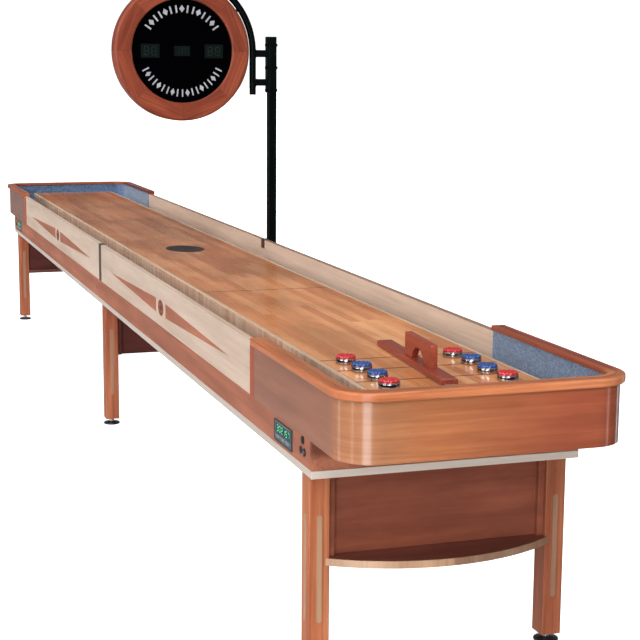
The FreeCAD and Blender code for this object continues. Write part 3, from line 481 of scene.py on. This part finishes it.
# The shelves' colour is the leg-panel cherry darkened further: painted shade, standing in for the shade the
# cabinet casts on them.
SHELF_PAINTED_SHADE = ((0.055, 0.016, 0.012), (0.09, 0.024, 0.018), (0.13, 0.04, 0.028))
MAPLE = ((0.45, 0.33, 0.24), (0.585, 0.445, 0.35), (0.68, 0.545, 0.45))
MAPLE_WARM = ((0.245, 0.136, 0.076), (0.33, 0.195, 0.112), (0.40, 0.25, 0.153))
TIMBER = ((0.38, 0.26, 0.15), (0.55, 0.40, 0.25), (0.66, 0.52, 0.36))
INLAY = ((0.015, 0.01, 0.01), (0.03, 0.02, 0.018), (0.05, 0.03, 0.026))
OVAL = ((0.07, 0.014, 0.01), (0.11, 0.022, 0.016), (0.16, 0.036, 0.026))
STAR = ((0.014, 0.011, 0.008), (0.024, 0.019, 0.014), (0.036, 0.03, 0.023))


def build_materials():
    return {
        "playfield": playfield_wood(),
        "slab_edge": slab_edge_wood(),
        "cherry_x": wood("cherry_along_x", APRON, along("x"), figure=0.8, coat=0.05, gloss=0.12,
                         tone=apron_painted_shadow),
        "cherry_z": wood("cherry_along_z", TRIM_RED, along("z")),
        "cherry_leg": wood("cherry_leg", LEG_RED, along("z"), coat=0.08, gloss=0.15, tone=right_side_painted_shade),
        "cherry_sweep": wood("cherry_sweep", SWEEP_RED, along("x")),
        "cherry_end": wood("cherry_round_end", CAP_WOOD, round_the_end, figure=0.6, coat=0.85,
                           coat_rough=0.17, gloss=0.1, tone=cap_painted_light),
        "cherry_rail": wood("cherry_rail", CHERRY, round_the_end, coat=0.25, coat_rough=0.15, gloss=0.2,
                            tone=rail_painted_shade),
        "cherry_ring": wood("cherry_ring", RING_RED, round_the_ring(RING_PIECES), blotch=0.26, coat=0.08,
                            coat_rough=0.12, gloss=0.15, seams=ring_seams(RING_PIECES)),
        "dark_panel": wood("dark_cherry_board", DARK, along("y"), figure=0.28, blotch=0.25, coat=0.05,
                           gloss=0.12, tone=leg_panel_tone),
        "shelf_painted_shade": wood("dark_cherry_shelf_painted_shade", SHELF_PAINTED_SHADE, along("y"), figure=0.8, blotch=0.3),
        "maple_x": wood("maple_along_x", MAPLE, along("x"), figure=0.7, blotch=0.08, tone=panel_painted_light),
        "maple_z": wood("maple_along_z", MAPLE_WARM, along("z"), figure=0.8, blotch=0.1,
                        tone=right_side_painted_shade),
        "inlay_dark": wood("dark_inlay", INLAY, along("y"), coat=0.05, gloss=0.1, coat_rough=0.05),
        "oval": wood("dark_oval_inlay", OVAL, along("z"), coat=0.05, gloss=0.12),
        "timber": wood("sawn_timber", TIMBER, along("x"), rough=0.7, coat=0.0),
        "ply": ply_edge(),
        "carpet": carpet("slate_blue_pile", (0.048, 0.088, 0.165), (0.18, 0.285, 0.49), 2.2 * MM),
        "felt": carpet("black_felt", (0.006, 0.006, 0.007), (0.03, 0.03, 0.034), 0.9 * MM),
        "powder": plastic("black_powder_paint", (0.0014, 0.0024, 0.0026), 0.34, grain=1500.0,
                          relief=0.00025, Specular_IOR_Level=0.03),
        "acrylic": plastic("black_acrylic_gloss", (0.0004, 0.0004, 0.0007), 0.1, grain=40.0,
                           relief=0.00003, Specular_IOR_Level=0.01),
        "black": plastic("black_moulded", (0.012, 0.012, 0.013), 0.38, relief=0.0002, Specular_IOR_Level=0.3),
        "foot": plastic("nylon_foot", (0.008, 0.008, 0.009), 0.33, relief=0.0002, Specular_IOR_Level=0.4),
        "slate": plastic("slate_overlay", (0.06, 0.085, 0.10), 0.45, relief=0.00015),
        "key": plastic("grey_key_cap", (0.17, 0.21, 0.23), 0.42, relief=0.0002),
        "window": plastic("smoked_green_window", (0.0022, 0.005, 0.0045), 0.1, grain=60.0,
                          relief=0.00002, Specular_IOR_Level=0.2),
        "red": plastic("red_cap_plastic", (0.52, 0.016, 0.022), 0.25, coat=0.35, grain=260.0, worn=0.08),
        "blue": plastic("blue_cap_plastic", (0.012, 0.062, 0.26), 0.25, coat=0.35, grain=260.0, worn=0.08),
        "chrome": metal("polished_chrome", (0.40, 0.41, 0.43), 0.06, 2400.0),
        "zinc": metal("zinc_plate", (0.58, 0.59, 0.60), 0.28, 600.0, 0.3),
        "bronze": metal("dark_bronze", (0.17, 0.135, 0.105), 0.34, 500.0, 0.4),
        "print": plastic("pale_print", (0.27, 0.28, 0.31), 0.4, grain=500.0),
        "dim": plastic("unlit_segments", (0.005, 0.010, 0.008), 0.3, Specular_IOR_Level=0.2),
        "lit": plastic("lit_segments", (0.05, 0.42, 0.22), 0.35, Emission_Color=(0.06, 0.75, 0.34, 1.0),
                       Emission_Strength=0.55),
        "grey_print": plastic("grey_print", (0.20, 0.25, 0.27), 0.45),
        "star_inlay": wood("pale_star_inlay", STAR, along("y"), coat=0.05, gloss=0.1),
    }


# Which finish each CAD node gets.
FINISHES = {
    "playfield": ("playfield_slab",),
    "slab_edge": ("playfield_edge",),
    "inlay_dark": ("playfield_inlays",),
    "timber": ("cradles", "gutter_deck"),
    "zinc": ("climatic_adjusters",),
    "carpet": ("gutter_carpet", "end_liners"),
    "ply": ("base_board",),
    "cherry_x": ("aprons", "side_inlays"),
    "cherry_sweep": ("sweep_board", "sweep_handle"),
    "maple_x": ("side_panels",),
    "maple_z": ("maple_trim",),
    "cherry_z": ("cap_trims",),
    "cherry_leg": ("legs_near", "legs_mid", "legs_far", "cover_caps"),
    "bronze": ("joint_plates",),
    "cherry_end": ("end_cap_near", "end_cap_far"),
    "cherry_rail": ("end_rail_near", "end_rail_far"),
    "dark_panel": ("leg_panels",),
    "shelf_painted_shade": ("shelves",),
    "powder": ("score_post", "score_arm", "post_bolts"),
    "cherry_ring": ("score_ring",),
    "acrylic": ("score_faces",),
    "window": ("display_windows",),
    "slate": ("panel_bezels",),
    "black": ("panel_fittings", "rocker_near", "rocker_far"),
    "felt": ("sweep_felt",),
    "key": tuple("key_%s_%d" % (end, i) for end in ("near", "far") for i in (1, 2, 3)),
    "chrome": ("key_lock_near", "key_lock_far"),
}
# Nodes whose edges are eased, and by how much.
ROUNDED = {
    "base_board": 1.0, "cap_trims": 1.2, "leg_panels": 0.8, "shelves": 0.8, "sweep_board": 1.0,
    "sweep_handle": 1.8, "joint_plates": 0.4, "side_panels": 1.2, "aprons": 0.8, "score_post": 0.6,
}


def finish_nodes(mats):
    for key, nodes in FINISHES.items():
        for node in nodes:
            obj = NODES[node]
            for material_slot in obj.material_slots:
                material_slot.material = mats[key]
    for node, width in ROUNDED.items():
        obj = NODES[node]
        weld = obj.modifiers.new("weld", "WELD")
        weld.merge_threshold = 1e-5
        bevel = obj.modifiers.new("edges", "BEVEL")
        bevel.width = width * MM
        bevel.segments = 2
        bevel.limit_method = "ANGLE"
        bevel.angle_limit = math.radians(50)
        bevel.use_clamp_overlap = True
        bevel.harden_normals = True


# --- Mesh helpers --------------------------------------------------------------------------------
def new_piece(name, verts, faces, material, body, slot, smooth=True):
    mesh = bpy.data.meshes.new(name)
    mesh.from_pydata([tuple(v) for v in verts], [], faces)
    mesh.validate()
    mesh.update()
    for polygon in mesh.polygons:
        polygon.use_smooth = smooth
    mesh.materials.append(material)
    obj = bpy.data.objects.new(name, mesh)
    SCENE.collection.objects.link(obj)
    if smooth:
        split = obj.modifiers.new("sharp", "EDGE_SPLIT")
        split.split_angle = math.radians(38)
    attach(obj, body)
    return obj


def lathe(profile, centre, segments=96, shape=None):
    """Turned solid about a vertical axis: profile is (radius, height) in mm, from the bottom centre up
    to the top centre. shape(angle, radius, height) may move a point and returns (radius, height)."""
    verts, faces, rows = [], [], []
    for radius, height in profile:
        if radius == 0:
            rows.append([len(verts)])
            verts.append(Vector((centre[0], centre[1], centre[2] + height * MM)))
            continue
        row = []
        for i in range(segments):
            a = 2 * math.pi * i / segments
            r, h = shape(a, radius, height) if shape else (radius, height)
            row.append(len(verts))
            verts.append(Vector((centre[0] + r * MM * math.cos(a), centre[1] + r * MM * math.sin(a),
                                 centre[2] + h * MM)))
        rows.append(row)
    for low, high in zip(rows, rows[1:]):
        for i in range(segments):
            j = (i + 1) % segments
            if len(low) == 1:
                faces.append((low[0], high[j], high[i]))
            elif len(high) == 1:
                faces.append((low[i], low[j], high[0]))
            else:
                faces.append((low[i], low[j], high[j], high[i]))
    return verts, faces


def plate(outline, thickness, place, holes=()):
    """Flat plate with an optional ring-shaped hole of as many points as the outline.
    place(u, v, w) puts a point of the plate into the scene; w is its height."""
    n = len(outline)
    verts, faces = [], []
    loops = [outline] + list(holes)
    for loop in loops:
        for w in (0.0, thickness):
            verts.extend(place(u, v, w) for u, v in loop)
    if not holes:
        faces.append(tuple(range(n - 1, -1, -1)))
        faces.append(tuple(range(n, 2 * n)))
        faces.extend((i, (i + 1) % n, n + (i + 1) % n, n + i) for i in range(n))
        return verts, faces
    for i in range(n):
        j = (i + 1) % n
        faces.append((i, j, n + j, n + i))
        faces.append((2 * n + j, 2 * n + i, 3 * n + i, 3 * n + j))
        faces.append((n + i, n + j, 3 * n + j, 3 * n + i))
        faces.append((j, i, 2 * n + i, 2 * n + j))
    return verts, faces


def joined(parts):
    """Several (verts, faces) sets as one."""
    verts, faces = [], []
    for part_verts, part_faces in parts:
        base = len(verts)
        verts.extend(part_verts)
        faces.extend(tuple(base + i for i in face) for face in part_faces)
    return verts, faces


def rounded_box(half_u, half_v, radius, steps=4):
    points = []
    for cu, cv, start in ((1, 1, 0), (-1, 1, 90), (-1, -1, 180), (1, -1, 270)):
        for i in range(steps + 1):
            a = math.radians(start + 90 * i / steps)
            points.append((cu * (half_u - radius) + radius * math.cos(a),
                           cv * (half_v - radius) + radius * math.sin(a)))
    return points


def circle(radius, count=128, centre=(0.0, 0.0), start=0.0):
    return [(centre[0] + radius * math.cos(2 * math.pi * i / count + start),
             centre[1] + radius * math.sin(2 * math.pi * i / count + start)) for i in range(count)]


# --- Pucks ------------------------------------------------------------------------------------------
# Profiles are (radius, height), from the middle of the underside up.
PUCK_PROFILE = [(0, 0.9), (17, 0.9), (19.5, 0.5), (20.5, 0), (27.2, 0), (28.5, 0.3), (29.1, 0.9),
                (29.35, 2.0), (29.35, 12.3), (29.15, 12.8), (28.3, 13.1), (28.1, 13.5), (28.1, 14.5),
                (28.3, 14.9), (29.1, 15.2), (29.3, 15.7), (29.2, 16.4), (28.7, 16.9), (28.0, 17.0), (0, 17.0)]
CAP_PROFILE = [(0, 17.0), (26.6, 17.0), (27.2, 17.3), (27.35, 18.0), (27.35, 21.6), (27.1, 22.9),
               (26.4, 24.0), (25.2, 24.8), (23.8, 25.0), (21.6, 24.9), (19.8, 24.3), (18.4, 23.3),
               (16.6, 22.7), (11.0, 22.5), (8.4, 22.6), (7.6, 23.3), (6.6, 23.7), (4.0, 23.9), (0, 24.0)]
PETALS = 12
PUCK_COLOURS = {"1": "red", "2": "blue", "3": "blue", "4": "red"}


def petal(angle, radius, height):
    """Scalloped rim: the cap's side and shoulder dip between its petals."""
    if radius < 17.5:
        return radius, height
    dip = (0.5 - 0.5 * math.cos(PETALS * angle)) ** 3
    side = min(1.0, max(0.0, (height - 17.6) / 3.0)) if radius > 26 else 1.0
    depth = 1.5 * min(1.0, (radius - 17.5) / 4.0)
    return radius - 1.9 * dip * side * (1.0 if radius > 24 else 0.0), height - depth * dip * (height > 22)


def build_pucks(mats):
    for row in "lr":
        for number, colour in PUCK_COLOURS.items():
            node = "puck_" + row + number
            centre = foot_point(node)
            body = new_piece(node + "_steel", *lathe(PUCK_PROFILE, centre), mats["chrome"], node,
                             "chromed_steel")
            cap = new_piece(node + "_cap", *lathe(CAP_PROFILE, centre, 144, petal), mats[colour], node,
                            "chromed_steel")
            cap.modifiers["sharp"].split_angle = math.radians(60)
            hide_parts(node)


# --- Levelling feet -----------------------------------------------------------------------------------
FOOT_PROFILE = [(0, 0), (34.0, 0), (35.4, 0.6), (36.0, 1.8), (36.0, 5.4), (35.3, 6.8), (33.6, 7.7),
                (26.0, 9.0), (18.0, 10.6), (13.5, 12.0), (12.0, 12.0), (0, 12.0)]
NUT_PROFILE = [(0, 12.0), (8.8, 12.0), (10.6, 12.9), (10.6, 19.1), (8.8, 20.0), (0, 20.0)]
NUT_ACROSS_FLATS = 19.0
STEM_R, STEM_Z, THREAD_DEPTH, THREAD_PITCH = 6.4, (19.5, 66.0), 0.6, 1.75


def hexed(angle, radius, height):
    """Six flats, with the corners left round where the ends are chamfered."""
    flat = NUT_ACROSS_FLATS / 2 / math.cos((angle + math.pi / 6) % (math.pi / 3) - math.pi / 6)
    return min(radius, flat), height


def thread(radius, depth, pitch, z0, z1, centre, segments=40):
    """Threaded rod: its radius follows the height less the turn."""
    rows = int((z1 - z0) / pitch * 6)
    profile = [(0, z0)] + [(radius, z0 + (z1 - z0) * i / rows) for i in range(rows + 1)] + [(0, z1)]

    def cut(angle, r, h):
        phase = ((h - z0) / pitch - angle / (2 * math.pi)) % 1.0
        return r - depth * abs(2 * phase - 1), h
    return lathe(profile, centre, segments, cut)


def build_feet(mats):
    for end in ("near", "mid", "far"):
        for side in "lr":
            node = "leveler_%s_%s" % (end, side)
            centre = foot_point(node)
            pad = new_piece(node + "_pad", *lathe(FOOT_PROFILE, centre, 72), mats["foot"], node, "black_foot")
            pad.modifiers["sharp"].split_angle = math.radians(30)
            new_piece(node + "_nut", *lathe(NUT_PROFILE, centre, 72, hexed), mats["zinc"], node, "zinc_steel")
            stem = thread(STEM_R, THREAD_DEPTH, THREAD_PITCH, *STEM_Z, centre)
            new_piece(node + "_stem", *stem, mats["zinc"], node, "zinc_steel")
            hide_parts(node)


# --- Score unit ---------------------------------------------------------------------------------------
FACE_X = 27 * MM                                # from the disc's middle plane to each face
MARKS_R, MARK_HALF_H = 0.185, 0.0165
SCORE_X = 0.145                                 # from the disc's centre to the middle of each score
SCORE_DIGITS = (0.019, 0.036, 0.034, 0.0042)    # width, height, pitch and bar of its figures
LAMP_R, LAMP_PITCH_U, LAMP_V = 0.0026, 0.014, 0.008
WELDED_BARS = ((1.658, 1.690), (1.530, 1.560))  # bottom and top of the arm's two spacer bars
BAR_HALF_W = 9 * MM
WELD_Y_PLATE, WELD_Y_TUBE = 0.386, 0.336        # from the centreline to both ends of the bars
# Bars of each figure, clockwise from the top one, a, to the upper left one, f; g is the middle one.
SEGMENTS = {
    "0": "abcdef", "1": "bc", "2": "abged", "3": "abgcd", "5": "afgcd", "7": "abc", "8": "abcdefg",
}


def digit_bars(text, width, height, pitch, bar):
    """Seven-bar figures centred on the origin, as outlines of single bars."""
    outlines = []
    w, h = width / 2, height / 2
    bars = {"a": (0, h, 1), "g": (0, 0, 1), "d": (0, -h, 1), "b": (w, h / 2, 0), "c": (w, -h / 2, 0),
            "f": (-w, h / 2, 0), "e": (-w, -h / 2, 0)}
    for i, char in enumerate(text):
        cu = (i - (len(text) - 1) / 2) * pitch
        for name in SEGMENTS[char]:
            u, v, flat = bars[name]
            length = (w if flat else h / 2) - bar * 0.7
            tip = [(length + bar / 2, 0), (length, bar / 2), (-length, bar / 2), (-length - bar / 2, 0),
                   (-length, -bar / 2), (length, -bar / 2)]
            if not flat:
                tip = [(-b, a) for a, b in tip]
            outlines.append([(cu + u + a, v + b) for a, b in tip])
    return outlines


def score_place(side):
    """Puts a point of a drawing on one score face; it reads the right way round from that side."""
    face_x = DISC.x + side * FACE_X

    def place(u, v, w):
        return Vector((face_x + side * w, DISC.y + side * u, DISC.z + v))
    return place


def arc_marks(radius, spread, count, half_w, half_h, centre_deg):
    """A row of lozenges and short bars along an arc, standing in for plain lettering."""
    outlines = []
    for i in range(count):
        deg = centre_deg + spread * (i / (count - 1) - 0.5)
        a = math.radians(deg)
        axis_r = (math.cos(a), math.sin(a))
        axis_t = (-axis_r[1], axis_r[0])
        if i % 3 == 1:
            shape = [(-half_h, 0), (0, -half_w * 1.1), (half_h, 0), (0, half_w * 1.1)]
        else:
            shape = [(-half_h, -half_w * 0.34), (half_h, -half_w * 0.34), (half_h, half_w * 0.34),
                     (-half_h, half_w * 0.34)]
        outlines.append([((radius + p) * axis_r[0] + q * axis_t[0], (radius + p) * axis_r[1] + q * axis_t[1])
                         for p, q in shape])
    return outlines


def build_score_faces(mats):
    for side, end in ((1, "near"), (-1, "far")):
        place = score_place(side)
        marks = (arc_marks(MARKS_R, 112, 15, 0.011, MARK_HALF_H, 90)
                 + arc_marks(MARKS_R, 128, 19, 0.009, MARK_HALF_H, -90))
        parts = [plate(outline, 0.4 * MM, place) for outline in marks]
        new_piece("score_marks_" + end, *joined(parts), mats["print"], "table", "black_acrylic", smooth=False)
        bars = []
        for offset in (-SCORE_X, SCORE_X):
            for outline in digit_bars("88", *SCORE_DIGITS):
                bars.append(plate([(u + offset, v) for u, v in outline], 0.2 * MM, place))
        for u in (-LAMP_PITCH_U, 0.0, LAMP_PITCH_U):
            for v in (-LAMP_V, LAMP_V):
                bars.append(plate(circle(LAMP_R, 20, (u, v)), 0.2 * MM, place))
        new_piece("score_digits_" + end, *joined(bars), mats["dim"], "table", "green_display", smooth=False)


def bead(path, radius, seed, segments=8):
    """Closed weld bead with the uneven ripples of a hand weld."""
    rng = random.Random(seed)
    verts, faces = [], []
    count = len(path)
    for i, point in enumerate(path):
        ahead = (path[(i + 1) % count] - path[i - 1]).normalized()
        side = ahead.cross(Vector((0.0, 1.0, 0.0)))
        side = side.normalized() if side.length > 1e-6 else Vector((1.0, 0.0, 0.0))
        up = side.cross(ahead)
        size = radius * (0.85 + 0.3 * (i % 3 == 0) + 0.1 * rng.random())
        for k in range(segments):
            a = 2 * math.pi * k / segments
            verts.append(point + side * (size * math.cos(a)) + up * (size * math.sin(a)))
    for i in range(count):
        j = (i + 1) % count
        for k in range(segments):
            m = (k + 1) % segments
            faces.append((i * segments + k, i * segments + m, j * segments + m, j * segments + k))
    return verts, faces


def build_welds(mats):
    """Weld beads round both ends of the arm's spacer bars."""
    parts = []
    seed = 1
    for z0, z1 in WELDED_BARS:
        mid, half = (z0 + z1) / 2, (z1 - z0) / 2
        outline = rounded_box(BAR_HALF_W + 0.5 * MM, half + 0.5 * MM, 2.0 * MM, 3)
        for y in (CENTRE_Y + WELD_Y_PLATE - 0.8 * MM, CENTRE_Y + WELD_Y_TUBE - 1.2 * MM):
            path = []
            for (ax, az), (bx, bz) in zip(outline, outline[1:] + outline[:1]):
                steps = max(1, int(math.hypot(bx - ax, bz - az) / 0.0022))
                path.extend(Vector((DISC.x + ax + (bx - ax) * s / steps, y, mid + az + (bz - az) * s / steps))
                            for s in range(steps))
            parts.append(bead(path, 2.0 * MM, seed))
            seed += 1
    new_piece("arm_welds", *joined(parts), mats["powder"], "table", "black_powder_coat")


# --- Inlaid ornaments ---------------------------------------------------------------------------------
MEDALLION_STRETCH = 130 / 85
RIM_OUT, RIM_IN = 0.0765, 0.0735
HUB_OUT, HUB_IN = 0.030, 0.0275
STAR_TIP, STAR_NOTCH = 0.066, 0.0145
LOZENGE_IN, LOZENGE_OUT, LOZENGE_HALF_W = 0.033, 0.046, 0.006
OVAL_X, OVAL_Z = 1.255, 0.731
OVAL_RIM_A, OVAL_RIM_B = 0.040, 0.0255


def star(points, outer, inner):
    outline = []
    for i in range(points * 2):
        a = math.pi * i / points
        r = inner if i % 2 else outer
        outline.append((r * math.cos(a), r * math.sin(a)))
    return outline


def build_ornaments(mats):
    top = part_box("playfield_slab")[1][2]

    def on_top(u, v, w):
        return Vector((u * MEDALLION_STRETCH, CENTRE_Y + v, top + w))
    lift = 0.12 * MM
    parts = [plate(circle(RIM_OUT), lift, on_top, [circle(RIM_IN)]),
             plate(star(4, STAR_TIP, STAR_NOTCH), lift, on_top),
             plate(circle(HUB_OUT, 64), lift, on_top, [circle(HUB_IN, 64)])]
    for quarter in range(4):
        a = math.radians(45 + 90 * quarter)
        out, aside = Vector((math.cos(a), math.sin(a))), Vector((-math.sin(a), math.cos(a)))
        centre = out * (LOZENGE_IN + LOZENGE_OUT) / 2
        corners = [out * LOZENGE_IN, centre - aside * LOZENGE_HALF_W,
                   out * LOZENGE_OUT, centre + aside * LOZENGE_HALF_W]
        parts.append(plate(corners, lift, on_top))
    new_piece("medallion_star", *joined(parts), mats["star_inlay"], "table", "dark_stained_wood",
              smooth=False)

    parts = []
    for side in (-1, 1):
        for x in (-OVAL_X, OVAL_X):
            def on_side(u, v, w, side=side, x=x):
                return Vector((x - side * u, CENTRE_Y + side * (PANEL_HALF_W + w), OVAL_Z + v))
            ring = [(OVAL_RIM_A * u, OVAL_RIM_B * v) for u, v in circle(1.0, 64)]
            hole = [(u * 0.78, v * 0.74) for u, v in ring]
            parts.append(plate(ring, 0.25 * MM, on_side, [hole]))
            parts.append(plate([(0.026, 0), (0, 0.017), (-0.026, 0), (0, -0.017)], 0.25 * MM, on_side))
    new_piece("oval_ornaments", *joined(parts), mats["oval"], "table", "dark_cherry_panel", smooth=False)


# --- Control panels -----------------------------------------------------------------------------------
BEZEL_HALF_X = 0.083
READOUT_V = 0.008                                     # middle of the readout above the bezel's middle
READOUT_DIGITS = (0.0125, 0.0165, 0.0205, 0.0028)     # width, height, pitch and bar of its figures


def build_panels(mats):
    low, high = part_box("panel_bezels")
    half_z = (high[2] - low[2]) / 2
    mid_z = (high[2] + low[2]) / 2
    face_y = low[1]
    for sign, end in ((1, "near"), (-1, "far")):
        mid_x = sign * (high[0] - BEZEL_HALF_X)

        def on_panel(u, v, w, mid_x=mid_x):
            return Vector((mid_x + u, face_y - w, mid_z + v))
        outer = rounded_box(BEZEL_HALF_X, half_z, 3 * MM)
        inner = [(u * 0.965 - 0.0025, v * 0.955) for u, v in rounded_box(BEZEL_HALF_X, half_z, 2 * MM)]
        frame_part = plate(outer, 1.2 * MM, on_panel, [inner])
        window = plate(rounded_box(0.0665, 0.0135, 2 * MM), 0.6 * MM,
                       lambda u, v, w: on_panel(u, v + READOUT_V, w), [rounded_box(0.0650, 0.0120, 1.4 * MM)])
        new_piece("panel_frame_" + end, *joined([frame_part, window]), mats["black"], "table",
                  "black_plastic", smooth=False)
        digits = digit_bars("302157", *READOUT_DIGITS)
        parts = [plate([(u, v + READOUT_V) for u, v in outline], 0.3 * MM, on_panel) for outline in digits]
        new_piece("panel_digits_" + end, *joined(parts), mats["lit"], "table", "green_display", smooth=False)
        marks = []
        for i in range(4):
            u = -0.066 + 0.044 * i
            marks.append(plate(rounded_box(0.0052, 0.0016, 0.8 * MM), 0.25 * MM,
                               lambda a, b, w, u=u: on_panel(a + u, b - 0.0145, w)))
        marks.append(plate(rounded_box(0.056, 0.0007, 0.3 * MM), 0.25 * MM,
                           lambda a, b, w: on_panel(a, b + 0.0235, w)))
        new_piece("panel_marks_" + end, *joined(marks), mats["grey_print"], "table", "grey_key", smooth=False)


# --- Sweep --------------------------------------------------------------------------------------------
SWEEP_TURN = -3.8                 # degrees from +X
TAB_REACH, TAB_T = 0.296, 4.0 * MM
EYE_U, EYE_R = 0.018, 0.0036


def build_sweep_tab(mats):
    """Hanging tab under the near end of the sweep board, with its metal eyelet."""
    turn = math.radians(SWEEP_TURN)
    mid = middle("sweep_board")
    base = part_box("sweep_felt")[0][2]
    axis, across = (math.cos(turn), math.sin(turn)), (-math.sin(turn), math.cos(turn))

    def at_end(u, v, w):
        reach = TAB_REACH + u
        return Vector((mid[0] + axis[0] * reach + across[0] * v, mid[1] + axis[1] * reach + across[1] * v,
                       base + w))
    tongue = [(u + 0.010, v) for u, v in rounded_box(0.022, 0.015, 8 * MM, 8)]
    hole = circle(EYE_R, len(tongue), (EYE_U, 0.0), 0.1)
    new_piece("sweep_tab", *plate(tongue, TAB_T, at_end, [hole]), mats["felt"], "sweep", "felt", smooth=False)
    rim = circle(EYE_R * 1.5, len(tongue), (EYE_U, 0.0), 0.1)
    new_piece("sweep_eyelet", *plate(rim, 0.6 * MM, lambda u, v, w: at_end(u, v, w + TAB_T), [hole]),
              mats["zinc"], "sweep", "zinc_steel", smooth=False)


# --- Stage --------------------------------------------------------------------------------------------
FLOOR_HALF = 90.0


def build_stage():
    g = Graph("white_floor", Roughness=0.9, Specular_IOR_Level=0.1, Emission_Strength=0.78,
              Emission_Color=(1.0, 1.0, 1.0, 1.0))
    soft = g.noise(g.object, 0.35, 2.0, 0.5)
    g.set("Base Color", g.mix(soft, (0.86, 0.86, 0.86), (0.9, 0.9, 0.9)))
    corners = [(FLOOR_HALF * u, FLOOR_HALF * v, 0) for u, v in ((-1, -1), (1, -1), (1, 1), (-1, 1))]
    mesh = bpy.data.meshes.new("floor")
    mesh.from_pydata(corners, [], [(0, 1, 2, 3)])
    mesh.materials.append(g.mat)
    floor = bpy.data.objects.new("floor", mesh)
    floor.visible_diffuse = False
    floor.visible_glossy = False
    floor.visible_shadow = False
    SCENE.collection.objects.link(floor)


# Brightness of the sky by the sine of the elevation.
SKY = [(-1.0, 0.62), (-0.4, 0.60), (-0.2, 0.32), (0.0, 0.2), (0.08, 0.13), (0.4, 0.16), (1.0, 0.5)]
BACKDROP_AZ, BACKDROP_HALF, BACKDROP_LIGHT = 162, 30, 1.15
# Upright strip lights: azimuth and half width in degrees, top of the strip as a sine, strength.
STRIP_BOXES = [(-28, 12, 0.35, 7.5), (-72, 2.5, 0.35, 4.0), (-120, 2.5, 0.35, 4.0), (62, 2.5, 0.35, 4.0),
               (112, 2.5, 0.35, 4.0)]
DARK_BOARD_AZ, DARK_BOARD_HALF, DARK_BOARD_LIGHT = 88, 38, 0.03


def build_world():
    """A dim studio: a white sheet behind the table, a dark board on its +Y side and upright strip lights."""
    world = bpy.data.worlds.new("studio")
    world.use_nodes = True
    SCENE.world = world
    g = Nodes(world.node_tree)
    x, y, z = g.split(g.add("TexCoord", {}, "Generated"))
    value = g.ramp(g.math("MULTIPLY_ADD", z, 0.5, 0.5), [(0.5 + 0.5 * at, (v, v, v)) for at, v in SKY])
    azimuth = g.math("MULTIPLY", g.math("ARCTAN2", y, x), 180 / math.pi)

    def window(centre, half, low, high):
        """1 within an upright rectangle of the sky, with soft edges."""
        off = g.math("ABSOLUTE", g.math("SUBTRACT", azimuth, centre))
        inside = g.range(off, half * 0.7, half * 1.3, 1.0, 0.0)
        above = g.range(z, low - 0.02, low)
        below = g.range(z, high, high + 0.02, 1.0, 0.0)
        return g.math("MULTIPLY", inside, g.math("MULTIPLY", above, below))
    value = g.mix(window(DARK_BOARD_AZ, DARK_BOARD_HALF, -2.0, 0.5), value, (DARK_BOARD_LIGHT,) * 3)
    for centre, half, top, strength in STRIP_BOXES:
        value = g.mix(window(centre, half, -0.45, top), value, (strength,) * 3)
    value = g.mix(window(BACKDROP_AZ, BACKDROP_HALF, -0.1, 0.06), value, (BACKDROP_LIGHT,) * 3)
    g.feed(g.tree.nodes["Background"].inputs["Color"], value)


def sun(name, azimuth, elevation, energy, angle, colour=(1.0, 1.0, 1.0)):
    """A far soft light; azimuth is where it stands, in degrees from +X towards +Y."""
    data = bpy.data.lights.new(name, "SUN")
    data.energy = energy
    data.angle = math.radians(angle)
    data.color = colour
    light = bpy.data.objects.new(name, data)
    SCENE.collection.objects.link(light)
    a, e = math.radians(azimuth), math.radians(elevation)
    place = Vector((math.cos(a) * math.cos(e), math.sin(a) * math.cos(e), math.sin(e)))
    light.rotation_euler = place.to_track_quat("Z", "Y").to_euler()


def build_lights():
    sun("key", -12, 34, 1.58, 24, (1.0, 0.985, 0.96))
    sun("side_fill", -75, 26, 1.95, 40)
    sun("top", 40, 75, 0.7, 60)


build_camera()
MATS = build_materials()
finish_nodes(MATS)
build_pucks(MATS)
build_feet(MATS)
build_score_faces(MATS)
build_welds(MATS)
build_ornaments(MATS)
build_panels(MATS)
build_sweep_tab(MATS)
build_stage()
build_world()
build_lights()
SCENE.view_settings.view_transform = "Standard"
